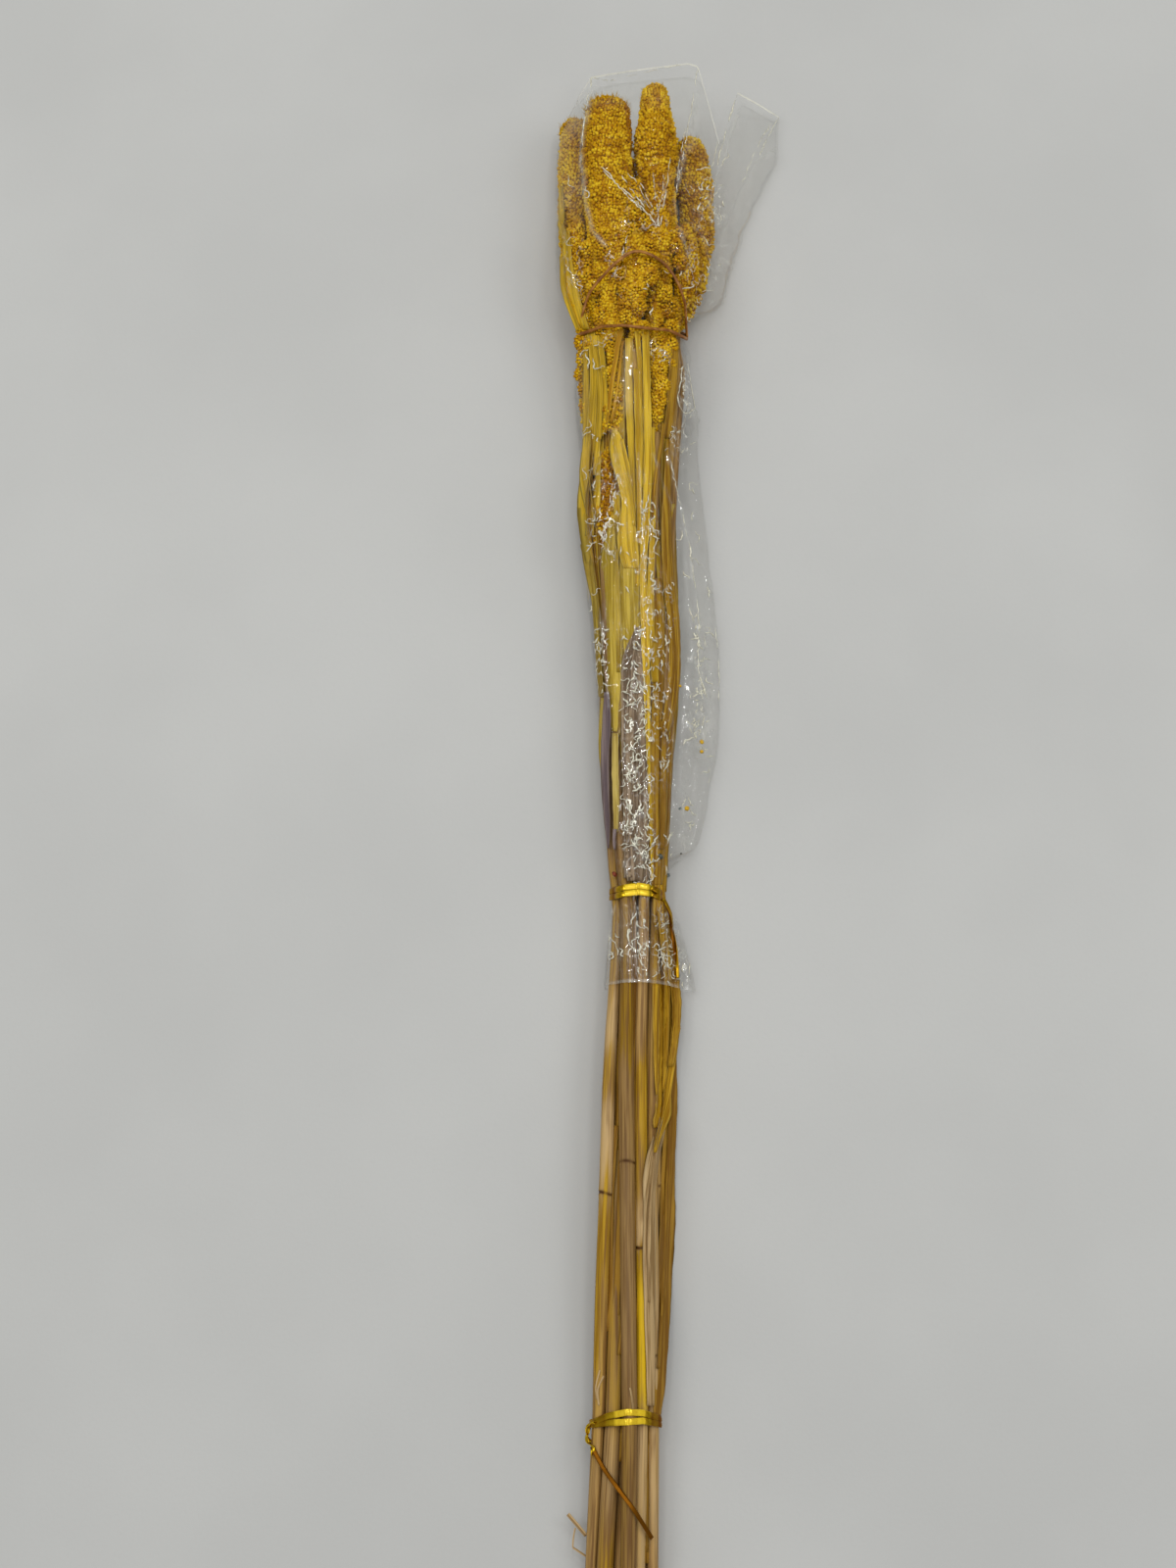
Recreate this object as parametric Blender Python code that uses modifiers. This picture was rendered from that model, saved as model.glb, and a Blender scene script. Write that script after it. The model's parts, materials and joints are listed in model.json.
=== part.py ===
"""A bunch of dried, dyed millet, tied twice and sleeved in clear film, lying on a flat surface.

The bunch lies along Y with its seed heads at +Y and its cut stems at -Y. All sizes below are in
millimetres. Positions are measured on the surface it lies on: x across the bunch, y along it from
the middle of its visible length, z up. At the end the whole bunch is moved so that the middle of
the bottom of its bounding box is the origin.
"""
import math

import bmesh
import bpy
import numpy as np

MM = 0.001

# Lengths along the bunch
CUT_END = -355.0
TIE_LOWER_Y = -260.0
TIE_UPPER_Y = -50.0
BAND_Y = 203.0
SKIRT_Y = -90.0
MOUTH_Y = 345.0
STATION = 8.0

# Clearances and sheet thicknesses
STRAND_GAP = 0.55
TOUCH_GAP = 0.35
LEAF_THICK = 0.4
LEAF_LAYER = 0.95
LEAF_FIRST_LAYER = 0.5
LEAF_STEP = 13.0
FILM_THICK = 0.3
FILM_GAP = 0.45

# How finely the outlines and heads are divided
FILM_SIDES = 24
HULL_SIDES = 40
HEAD_RINGS = 15
HEAD_SIDES = 12
STEM_SLACK = 0.16

# Rubber band and gold ties
BAND_R = 0.8
BAND_LIFT = 0.5
BAND_PITCH = 2.6
BAND_HOP = 2.6
LOOP_RISE = 26.0
LOOP_LIFT = 0.8
TIE_WIDTH = 2.6
TIE_PITCH = 3.1
TIE_THICK = 0.45
NECK_HALF = 6.0
TAIL_LIFT = 0.9
UPPER_START = 1
UPPER_TAIL = [(49.5, -57.5), (49.9, -62.0), (50.2, -70.0), (50.4, -78.0), (50.6, -85.0)]
LOWER_START = 12
LOWER_TAIL = [(-37.3, -266.0), (-38.6, -269.0), (-40.0, -273.0), (-41.2, -278.0), (-42.3, -284.0),
              (-43.3, -291.0), (-44.4, -298.0), (-45.3, -304.0)]

# Height that the underside of the strands keeps over the surface: (y, z)
UNDERSIDE = [(-355, 0.0), (-330, 0.1), (-260, 1.2), (-155, 2.2), (-50, 2.6), (75, 2.0), (190, 1.0), (330, 0.9)]

# Each strand is a stem with its seed head. "path" is (y, x, z) of its middle line, "stem" the
# stem's radius at the cut end and under the head, "head" the head's (y, radius), base to tip,
# and "firm" how strongly it keeps its own line where its neighbours press on it.
STRANDS = [
    {"path": [(-355, 4, 10), (-311, 5.2, 11), (-276, 7.5, 12.5), (-243, 9.5, 12.5), (-213, 9.3, 11.5),
              (-155, 10.5, 10), (-50, 19.3, 12.6), (75, 14, 21), (150, 11.2, 24), (205, 10, 26),
              (240, 7.8, 29), (290, 8.8, 30.5), (313, 8.9, 31)],
     "stem": (4.0, 2.1), "firm": 1.0,
     "head": [(150, 2.2), (160, 4.6), (196, 5.0), (216, 6.2), (232, 8.6), (248, 10.4), (280, 11.3),
              (302, 10.4), (310, 8.8), (313, 5.5)]},
    {"path": [(-355, 21.5, 9.5), (-311, 20.9, 11.5), (-276, 20.7, 13), (-243, 19.8, 14), (-213, 19.6, 14.5),
              (-155, 21.1, 15), (-99, 21.5, 16), (-50, 22.4, 17.8), (75, 25, 22), (150, 31.8, 25),
              (200, 32, 26), (225, 30.5, 28), (250, 30.5, 28.5), (290, 30.5, 29), (321, 30.2, 30.5)],
     "stem": (2.8, 1.9), "firm": 1.0,
     "head": [(152, 2.0), (162, 4.2), (200, 4.5), (226, 6.6), (246, 8.8), (280, 9.2), (296, 8.3),
              (308, 6.6), (318, 4.6), (321, 3.0)]},
    {"path": [(-355, 28, 5), (-311, 25.1, 8), (-243, 24.8, 9.8), (-155, 24.7, 12), (-99, 25.2, 13),
              (-50, 27, 15), (75, 33, 14), (150, 38, 14), (207, 39.6, 13), (250, 51, 10.5), (280, 50.5, 10),
              (306, 46.5, 11)],
     "stem": (2.8, 1.9), "firm": 0.8,
     "head": [(206, 2.0), (216, 5.0), (232, 7.0), (250, 8.0), (282, 8.2), (298, 6.4), (306, 3.4)]},
    {"path": [(-355, -2.5, 3.2), (-311, -0.3, 6.5), (-276, 1.8, 9.5), (-243, 5, 11.5), (-213, 6.2, 12.5),
              (-155, 7.8, 13.8), (-99, 11.2, 15), (-50, 13.8, 13.2), (75, 5, 13), (150, 0.6, 16),
              (206, 1.4, 15), (240, -3, 12), (285, -4.5, 10.5), (315, -6, 11)],
     "stem": (2.9, 2.0), "firm": 0.9,
     "head": [(154, 2.1), (164, 4.2), (202, 4.6), (226, 6.6), (250, 8.6), (288, 9.0), (306, 6.8), (315, 3.6)]},
    {"path": [(-355, 14.5, 12.5), (-311, 13.4, 13), (-276, 14.7, 14), (-243, 14.1, 14.5), (-213, 13.5, 15),
              (-155, 14, 15.8), (-99, 15.9, 16.5), (-50, 17.2, 17.4), (30, 10, 19), (99, 4.8, 20),
              (122, 6.8, 21), (146, 9.3, 22)],
     "stem": (3.6, 2.3), "firm": 1.0,
     "head": [(96, 2.4), (103, 4.6), (118, 5.4), (132, 4.8), (142, 3.2), (146, 1.8)]},
    {"path": [(-355, 10.5, 3.2), (-260, 11.5, 4), (-155, 14, 4.5), (-50, 21.3, 7.6), (75, 14, 9.5),
              (190, 13, 9), (240, 15, 10), (300, 16, 10.5)],
     "stem": (3.2, 2.1), "firm": 0.5,
     "head": [(190, 2.2), (203, 4.8), (224, 7.4), (250, 9.2), (280, 9.2), (294, 6.8), (301, 3.6)]},
    {"path": [(-355, 17, 3.2), (-260, 18, 4), (-155, 20, 4.5), (-50, 26, 7), (75, 25, 9), (185, 29, 9),
              (240, 33, 10), (292, 34, 10)],
     "stem": (3.1, 2.1), "firm": 0.5,
     "head": [(188, 2.2), (202, 4.6), (222, 7.2), (246, 8.8), (274, 8.6), (286, 6.2), (293, 3.2)]},
    {"path": [(-355, 4, 3.2), (-260, 5, 4.4), (-155, 8.5, 5), (-50, 16, 8), (75, 9, 13.5), (150, 4.5, 20),
              (205, 2.0, 24.5), (235, -1, 25), (258, -1, 25)],
     "stem": (3.2, 2.0), "firm": 0.5,
     "head": [(197, 2.1), (208, 4.2), (222, 5.6), (238, 6.0), (250, 4.8), (258, 2.6)]},
    {"path": [(-355, 23.3, 3.1), (-260, 23.5, 4.4), (-155, 25.5, 6.5), (-50, 29, 10.8), (75, 30, 18),
              (150, 35.5, 19.5), (205, 37.5, 22), (250, 43, 24)],
     "stem": (2.9, 2.0), "firm": 0.5,
     "head": [(202, 2.1), (211, 4.2), (224, 5.6), (238, 5.6), (248, 4.2), (255, 2.4)]},
    {"path": [(-355, 11.2, 9), (-260, 12, 9), (-155, 17.5, 9.5), (-50, 24.2, 12.4), (75, 19.5, 20),
              (150, 20, 21.5), (205, 21, 27), (242, 20, 30)],
     "stem": (2.8, 2.0), "firm": 0.6,
     "head": [(190, 2.1), (199, 3.8), (212, 5.6), (228, 6.0), (238, 4.6), (244, 2.6)]},
]

# Leaves lie on the strands. "at" says whether the path gives x on the upper side or an angle
# round the bunch in degrees (0 = +X side, 90 = top, 180 = -X side). Path: (y, position, width).
LEAVES = [
    {"name": "leaf_left_blade", "at": "angle", "layer": 0, "colour": "leaf_yellow",
     "path": [(222, 168, 1.6), (232, 171, 5.0), (246, 172, 6.6), (266, 168, 5.6), (290, 160, 1.2)]},
    {"name": "leaf_upper_left", "at": "x", "layer": 0, "colour": "leaf_yellow",
     "path": [(100, 1.6, 2.0), (130, 2.4, 4.0), (155, 3.6, 4.8), (180, 4.6, 4.8), (197, 5.2, 3.0)]},
    {"name": "leaf_upper_slip", "at": "x", "layer": 1, "colour": "leaf_yellow",
     "path": [(150, 8.2, 1.6), (172, 8.4, 3.2), (190, 7.8, 3.0), (199, 7.0, 1.4)]},
    {"name": "leaf_upper_mid", "at": "x", "layer": 0, "colour": "leaf_deep",
     "path": [(158, 11.0, 1.6), (170, 11.8, 3.8), (188, 13.0, 4.0), (204, 14.0, 2.0)]},
    {"name": "leaf_wide_tip", "at": "x", "layer": 1, "colour": "leaf_yellow",
     "path": [(88, 16.5, 4.0), (108, 15.5, 8.6), (132, 14.6, 9.6), (146, 12.8, 6.2), (156, 11.8, 1.2)]},
    {"name": "leaf_left_ribbon", "at": "x", "layer": 1, "colour": "leaf_yellow",
     "path": [(66, 3.8, 1.8), (90, 1.6, 4.4), (120, 0.6, 5.0), (148, 0.6, 3.6), (166, 0.8, 1.4)]},
    {"name": "leaf_olive_left", "at": "x", "layer": 0, "colour": "leaf_olive",
     "path": [(26, 10.5, 2.6), (48, 9.4, 6.4), (76, 8.8, 7.4), (94, 8.8, 6.0)]},
    {"name": "leaf_olive_mid", "at": "x", "layer": 0, "colour": "leaf_olive",
     "path": [(36, 19.5, 3.0), (58, 18.0, 8.0), (84, 17.4, 9.0), (110, 16.8, 6.0), (124, 17.0, 1.4)]},
    {"name": "leaf_bright", "at": "x", "layer": 1, "colour": "leaf_bright",
     "path": [(-22, 23.8, 4.4), (0, 24.2, 5.6), (50, 25.2, 6.0), (100, 26.0, 4.6), (150, 26.4, 3.2),
              (201, 26.6, 2.6)]},
    {"name": "leaf_ochre_right", "at": "angle", "layer": 0, "colour": "leaf_ochre",
     "path": [(14, 30, 1.6), (36, 34, 5.6), (64, 36, 7.0), (92, 38, 6.0), (118, 42, 2.0)]},
    {"name": "leaf_sheath_right", "at": "angle", "layer": 0, "colour": "leaf_ochre",
     "path": [(-26, 44, 4.6), (-14, 46, 6.6), (2, 50, 6.4), (14, 54, 2.2)]},
    {"name": "leaf_edge_left", "at": "angle", "layer": 0, "colour": "leaf_ochre",
     "path": [(2, 150, 1.4), (14, 148, 2.6), (26, 146, 1.2)]},
    {"name": "leaf_pale_strand", "at": "x", "layer": 0, "colour": "leaf_yellow",
     "path": [(-26, 12.6, 1.8), (-6, 12.0, 3.2), (16, 11.6, 1.8)]},
    {"name": "leaf_mauve_strip", "at": "x", "layer": 1, "colour": "leaf_mauve",
     "path": [(-24, 10.0, 1.6), (-12, 9.0, 3.2), (8, 7.8, 3.4), (28, 7.6, 3.0), (37, 7.4, 1.2)]},
    {"name": "leaf_blond_diagonal", "at": "angle", "layer": 0, "colour": "leaf_blond",
     "path": [(-206, 60, 1.6), (-180, 46, 4.4), (-154, 38, 5.6), (-124, 42, 4.4), (-100, 50, 2.0)]},
    {"name": "leaf_brown_right", "at": "angle", "layer": 1, "colour": "leaf_brown",
     "path": [(-252, 8, 3.4), (-213, 4, 5.2), (-176, 2, 5.6), (-140, 4, 5.0), (-104, 12, 5.0), (-88, 16, 3.0)]},
    {"name": "leaf_twisted_sheath", "at": "angle", "layer": 2, "colour": "leaf_ochre",
     "path": [(-146, 22, 2.0), (-126, 24, 5.6), (-106, 28, 7.4), (-96, 30, 6.0)]},
]

# The film reaches past what it holds at these places: (y, x, z, radius of its fold)
FILM_PUSH = [
    [(-90, 7.5, 6, 1.6), (-72, 8.5, 7, 1.6), (-60, 11, 9, 1.6)],
    [(-90, 43, 2.6, 1.6), (-76, 41.5, 2.8, 1.6), (-62, 35, 6, 1.6)],
    [(-90, 24, 19.5, 2.0), (-70, 23, 19.5, 2.0)],
    [(-41, 37.5, 6, 1.6), (-22, 43.5, 3.2, 1.6), (-4, 46.6, 2.8, 1.6), (32, 54.2, 2.6, 1.6),
     (44, 54.8, 2.6, 1.6), (72, 52.8, 2.6, 1.6), (123, 47.6, 3, 1.6), (165, 46.5, 5, 1.6)],
    [(214, 52, 6, 1.6), (240, 60, 4, 1.6), (264, 66, 3.4, 1.6), (292, 75, 2.8, 1.6),
     (318, 85, 2.6, 1.6), (345, 87, 2.6, 1.6)],
    [(243, -9, 5, 1.6), (307, -11.8, 4.6, 1.6), (325, -6, 6, 1.6), (345, 3, 8, 1.6)],
    [(325, 22, 34, 2.0), (345, 26, 25, 2.0)],
    [(345, 40, 21, 2.0)],
]

# The sleeve's mouth is cut at a slant: past MOUTH_LIP_Y its rings fall back by MOUTH_SLOPE of
# their distance beyond MOUTH_SLOPE_X
MOUTH_LIP_Y = 312.0
MOUTH_SLOPE_X = 55.0
MOUTH_SLOPE = 0.68

# Settling: strands are pulled to their own lines for PULL_STEPS, then only kept apart
PULL_STEPS = 500
ALL_STEPS = 900
PULL = 0.04
SMOOTH_PULLED = 0.25
SMOOTH_FREE = 0.12

COLOURS = {
    "grain": ((0.56, 0.30, 0.012), 0.75),
    "straw": ((0.50, 0.33, 0.14), 0.6),
    "leaf_yellow": ((0.56, 0.40, 0.06), 0.6),
    "leaf_bright": ((0.62, 0.45, 0.05), 0.55),
    "leaf_deep": ((0.52, 0.34, 0.02), 0.6),
    "leaf_olive": ((0.40, 0.31, 0.07), 0.6),
    "leaf_ochre": ((0.47, 0.27, 0.03), 0.6),
    "leaf_blond": ((0.60, 0.44, 0.18), 0.6),
    "leaf_brown": ((0.30, 0.15, 0.03), 0.6),
    "leaf_mauve": ((0.21, 0.16, 0.18), 0.6),
    "film": ((0.9, 0.9, 0.9), 0.15),
    "band": ((0.42, 0.17, 0.03), 0.5),
    "gold": ((0.75, 0.52, 0.05), 0.25),
}


def material(name):
    """One material a part, with its colour, roughness and metallic value."""
    colour, rough = COLOURS[name]
    made = bpy.data.materials.new(name)
    made.use_nodes = True
    shader = made.node_tree.nodes["Principled BSDF"]
    shader.inputs["Base Color"].default_value = (*colour, 1.0)
    shader.inputs["Roughness"].default_value = rough
    shader.inputs["Metallic"].default_value = 1.0 if name == "gold" else 0.0
    if name == "film":
        shader.inputs["Alpha"].default_value = 0.35
    return made


def radius_line(strand):
    """The radius of a strand along y: the tapering stem and then the head."""
    head = strand["head"]
    cut, neck = strand["stem"]
    return [(CUT_END, cut), (head[0][0] - 1.0, neck)] + head


def settle(strands):
    """Push the strands apart until none presses into another or sinks through the surface."""
    y = np.arange(CUT_END, MOUTH_Y, STATION)
    x, z, r, alive = [], [], [], []
    for strand in strands:
        path = np.array(strand["path"], float)
        line = np.array(radius_line(strand), float)
        x.append(np.interp(y, path[:, 0], path[:, 1]))
        z.append(np.interp(y, path[:, 0], path[:, 2]))
        r.append(np.interp(y, line[:, 0], line[:, 1]))
        alive.append(y <= line[-1, 0] + STATION)
    x, z, r, alive = (np.array(v) for v in (x, z, r, alive))
    home_x, home_z = x.copy(), z.copy()
    firm = np.array([strand["firm"] for strand in strands])[:, None]
    low = np.interp(y, *np.array(UNDERSIDE, float).T)
    for step in range(ALL_STEPS):
        pulled = step < PULL_STEPS
        if pulled:
            x += PULL * firm * (home_x - x)
            z += PULL * firm * (home_z - z)
        smooth = SMOOTH_PULLED if pulled else SMOOTH_FREE
        inner = alive[:, 2:] & alive[:, :-2]
        for line in (x, z):
            bend = 0.5 * (line[:, 2:] + line[:, :-2]) - line[:, 1:-1]
            line[:, 1:-1] += smooth * bend * inner
        for a in range(len(strands)):
            for b in range(a + 1, len(strands)):
                dx, dz = x[b] - x[a], z[b] - z[a]
                far = np.hypot(dx, dz) + 1e-9
                deep = np.maximum(r[a] + r[b] + STRAND_GAP - far, 0.0) * (alive[a] & alive[b])
                share = firm[b, 0] / (firm[a, 0] + firm[b, 0])
                x[a] -= deep * share * dx / far
                z[a] -= deep * share * dz / far
                x[b] += deep * (1 - share) * dx / far
                z[b] += deep * (1 - share) * dz / far
        z = np.maximum(z, low + r)
    return {"y": y, "x": x, "z": z}


def samples(strands, lines):
    """Circles (y, x, z, radius) that cover every strand, one every few millimetres."""
    rows = []
    for index, strand in enumerate(strands):
        line = np.array(radius_line(strand), float)
        for y in np.arange(CUT_END, line[-1, 0] + 0.1, STATION / 2):
            x = np.interp(y, lines["y"], lines["x"][index])
            z = np.interp(y, lines["y"], lines["z"][index])
            rows.append((y, x, z, np.interp(y, line[:, 0], line[:, 1])))
    return rows


def ring(rows, y, reach, gap, sides):
    """The closed outline, in x and z, that wraps all circles within reach of y, gap outside them."""
    near = np.array([row for row in rows if abs(row[0] - y) <= reach])
    turn = 2 * math.pi / sides
    angles = turn * np.arange(sides)
    normal_x, normal_z = np.cos(angles), np.sin(angles)
    support = (near[:, 1, None] * normal_x + near[:, 2, None] * normal_z + near[:, 3, None]).max(axis=0) + gap
    ahead = np.roll(support, -1)
    along = (ahead - support * math.cos(turn)) / math.sin(turn)
    return np.stack([normal_x * support - normal_z * along, normal_z * support + normal_x * along], axis=1)


def ring_lengths(outline):
    steps = np.linalg.norm(np.roll(outline, -1, axis=0) - outline, axis=1)
    return np.concatenate([[0.0], np.cumsum(steps)])


def ring_point(outline, lengths, s):
    """The point at arc length s round the outline."""
    s = s % lengths[-1]
    k = min(int(np.searchsorted(lengths, s, side="right")) - 1, len(outline) - 1)
    t = (s - lengths[k]) / max(lengths[k + 1] - lengths[k], 1e-9)
    return outline[k] * (1 - t) + outline[(k + 1) % len(outline)] * t


def ring_place(outline, lengths, at, value):
    """The arc length where the upper side is at x = value, or where the angle round it is value."""
    middle = (outline.min(axis=0) + outline.max(axis=0)) / 2
    best, place = 1e9, 0.0
    for s in np.linspace(0, lengths[-1], 361)[:-1]:
        p = ring_point(outline, lengths, s)
        if at == "x":
            miss = abs(p[0] - value) + (0 if p[1] >= middle[1] else 1e3)
        else:
            turned = math.degrees(math.atan2(p[1] - middle[1], p[0] - middle[0])) - value
            miss = abs((turned + 180) % 360 - 180)
        if miss < best:
            best, place = miss, s
    return place


def add_object(name, mesh, colour, collection):
    made = bpy.data.objects.new(name, mesh)
    collection.objects.link(made)
    mesh.materials.append(material(colour))
    mesh.materials[0].name = name + "_" + colour
    return made


def thin_out(points, slack):
    """Keep only the points of a line that its shape needs, within slack millimetres."""
    points = np.asarray(points)
    if len(points) < 3:
        return [tuple(p) for p in points]
    span = points[-1] - points[0]
    t = ((points - points[0]) @ span) / (span @ span)
    off = np.linalg.norm(points - points[0] - t[:, None] * span, axis=1)
    k = int(off.argmax())
    if off[k] < slack:
        return [tuple(points[0]), tuple(points[-1])]
    return thin_out(points[:k + 1], slack)[:-1] + thin_out(points[k:], slack)


def stem(index, strand, lines, collection):
    """A stem: a tapering tube from the cut end to just under its head."""
    cut, neck = strand["stem"]
    top = strand["head"][0][0] - TOUCH_GAP
    rows = []
    for y in list(np.arange(CUT_END, top - STATION / 2, STATION)) + [top]:
        x = np.interp(y, lines["y"], lines["x"][index])
        z = np.interp(y, lines["y"], lines["z"][index])
        rows.append((x, y, z))
    line = thin_out(rows, STEM_SLACK)
    curve = bpy.data.curves.new("stem", "CURVE")
    curve.dimensions = "3D"
    curve.bevel_depth = MM
    curve.bevel_resolution = 2
    curve.use_fill_caps = True
    spline = curve.splines.new("POLY")
    spline.points.add(len(line) - 1)
    for point, (x, y, z) in zip(spline.points, line):
        share = (y - CUT_END) / (top - CUT_END)
        point.co = (x * MM, y * MM, z * MM, 1.0)
        point.radius = cut + (neck - cut) * share
    made = bpy.data.objects.new("stem_%d" % (index + 1), curve)
    collection.objects.link(made)
    curve.materials.append(material("straw"))
    return made


def seed_head(index, strand, lines, collection):
    """A head: a sphere drawn out along its stem's line, with rows of lumps pressed into it."""
    line = np.array(strand["head"], float)
    base, tip = line[0, 0], line[-1, 0]
    shape = bmesh.new()
    bmesh.ops.create_uvsphere(shape, u_segments=HEAD_SIDES, v_segments=HEAD_RINGS, radius=1.0)
    phase = 1.7 * index
    for vert in shape.verts:
        share = math.acos(max(-1.0, min(1.0, -vert.co.z))) / math.pi
        angle = math.atan2(vert.co.y, vert.co.x)
        y = base + (tip - base) * share
        radius = 0.0
        if 1e-4 < share < 1 - 1e-4:
            radius = np.interp(y, line[:, 0], line[:, 1])
            lump = math.sin(3 * angle + 0.9 * phase + 21 * share) * math.sin(5 * angle - phase + 13 * share)
            radius *= 0.93 + 0.07 * lump
        x = np.interp(y, lines["y"], lines["x"][index]) + radius * math.cos(angle)
        z = np.interp(y, lines["y"], lines["z"][index]) + radius * math.sin(angle)
        vert.co = (x * MM, y * MM, z * MM)
    if shape.calc_volume(signed=True) < 0:
        bmesh.ops.reverse_faces(shape, faces=shape.faces)
    mesh = bpy.data.meshes.new("seed_head")
    shape.to_mesh(mesh)
    shape.free()
    mesh.shade_smooth()
    return add_object("seed_head_%d" % (index + 1), mesh, "grain", collection)


def leaf(spec, rows, collection):
    """A dry leaf: a strip laid on the strands, wrapped a little round them, with its thickness."""
    path = np.array(spec["path"], float)
    gap = LEAF_FIRST_LAYER + LEAF_LAYER * spec["layer"]
    count = max(4, int(round((path[-1, 0] - path[0, 0]) / LEAF_STEP)) + 1)
    stops = np.linspace(path[0, 0], path[-1, 0], count)
    reach = stops[1] - stops[0]
    across = 3
    shape = bmesh.new()
    bmesh.ops.create_grid(shape, x_segments=across - 1, y_segments=count - 1, size=1.0)
    verts = sorted(shape.verts, key=lambda v: (round(v.co.y, 5), v.co.x))
    covered = []
    for k, y in enumerate(stops):
        outline = ring(rows, y, reach, gap, HULL_SIDES)
        lengths = ring_lengths(outline)
        place = ring_place(outline, lengths, spec["at"], np.interp(y, path[:, 0], path[:, 1]))
        width = np.interp(y, path[:, 0], path[:, 2])
        for j in range(across):
            x, z = ring_point(outline, lengths, place + width * (0.5 - j / (across - 1)))
            verts[k * across + j].co = (x * MM, y * MM, z * MM)
            covered.append(np.array((y, x, z, LEAF_THICK + 0.1)))
    between = []
    for first, second in zip(covered, covered[across:]):
        between += [first + (second - first) * part / 4 for part in (1, 2, 3)]
    covered += between
    bmesh.ops.recalc_face_normals(shape, faces=shape.faces)
    middle = shape.faces[:][len(shape.faces) // 2]
    centre = middle.calc_center_median()
    outline = ring(rows, centre.y / MM, STATION, 0.0, HULL_SIDES)
    inside = (outline.min(axis=0) + outline.max(axis=0)) / 2 * MM
    outward = middle.normal.x * (centre.x - inside[0]) + middle.normal.z * (centre.z - inside[1])
    if outward < 0:
        bmesh.ops.reverse_faces(shape, faces=shape.faces)
    mesh = bpy.data.meshes.new(spec["name"])
    shape.to_mesh(mesh)
    shape.free()
    made = add_object(spec["name"], mesh, spec["colour"], collection)
    solid = made.modifiers.new("thickness", "SOLIDIFY")
    solid.thickness = LEAF_THICK * MM
    solid.offset = 1.0
    return covered


def film_rows(rows):
    """What the film is stretched over: the strands and leaves, and the places it reaches past them."""
    out = list(rows)
    for push in FILM_PUSH:
        points = np.array(push, float)
        count = max(2, int((points[-1, 0] - points[0, 0]) / (STATION / 2)) + 1)
        for y in np.linspace(points[0, 0], points[-1, 0], count):
            out.append(tuple([y] + [np.interp(y, points[:, 0], points[:, k]) for k in (1, 2, 3)]))
    return out


def film_stops():
    """The y of the sleeve's rings, closer together at the tie, the band and the mouth."""
    return [SKIRT_Y, -77, -66, TIE_UPPER_Y - NECK_HALF, TIE_UPPER_Y + NECK_HALF, -28, -8, 14, 36, 58, 80, 102,
            124, 146, 166, 184, BAND_Y - 5, BAND_Y + 6, 222, 240, 258, 276, 294, 312, 328, MOUTH_Y]


def film_ring(rows, y):
    """The inside of the film at y, on the ring stops or between them."""
    stops = film_stops()
    k = min(max(int(np.searchsorted(stops, y)) - 1, 0), len(stops) - 2)
    pair = []
    for stop in (stops[k], stops[k + 1]):
        here = stops.index(stop)
        below = stops[max(here - 1, 0)]
        above = stops[min(here + 1, len(stops) - 1)]
        reach = max(stop - below, above - stop) * 0.75
        if abs(stop - TIE_UPPER_Y) <= NECK_HALF:
            stop, reach = TIE_UPPER_Y, NECK_HALF + 2
        if abs(stop - BAND_Y) <= NECK_HALF:
            stop, reach = BAND_Y, NECK_HALF + 1
        pair.append(ring(rows, stop, reach, FILM_GAP, FILM_SIDES))
    t = (y - stops[k]) / (stops[k + 1] - stops[k])
    return pair[0] * (1 - t) + pair[1] * t


def film_sleeve(rows, collection):
    """The clear sleeve: a tube lofted through its rings, open at both ends."""
    shape = bmesh.new()
    loops = []
    for y in film_stops():
        loop = []
        for x, z in film_ring(rows, y):
            lip = max(0.0, y - MOUTH_LIP_Y) / (MOUTH_Y - MOUTH_LIP_Y)
            drop = lip * max(0.0, x - MOUTH_SLOPE_X) * MOUTH_SLOPE
            loop.append(shape.verts.new((x * MM, (y - drop) * MM, z * MM)))
        loops.append(loop)
    for low, high in zip(loops, loops[1:]):
        for j in range(len(low)):
            after = (j + 1) % len(low)
            shape.faces.new((low[j], high[j], high[after], low[after]))
    bmesh.ops.recalc_face_normals(shape, faces=shape.faces)
    side = max(shape.faces, key=lambda f: f.calc_center_median().z)
    if side.normal.z < 0:
        bmesh.ops.reverse_faces(shape, faces=shape.faces)
    mesh = bpy.data.meshes.new("film_sleeve")
    shape.to_mesh(mesh)
    shape.free()
    made = add_object("film_sleeve", mesh, "film", collection)
    solid = made.modifiers.new("thickness", "SOLIDIFY")
    solid.thickness = FILM_THICK * MM
    solid.offset = 1.0
    return made


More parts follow.
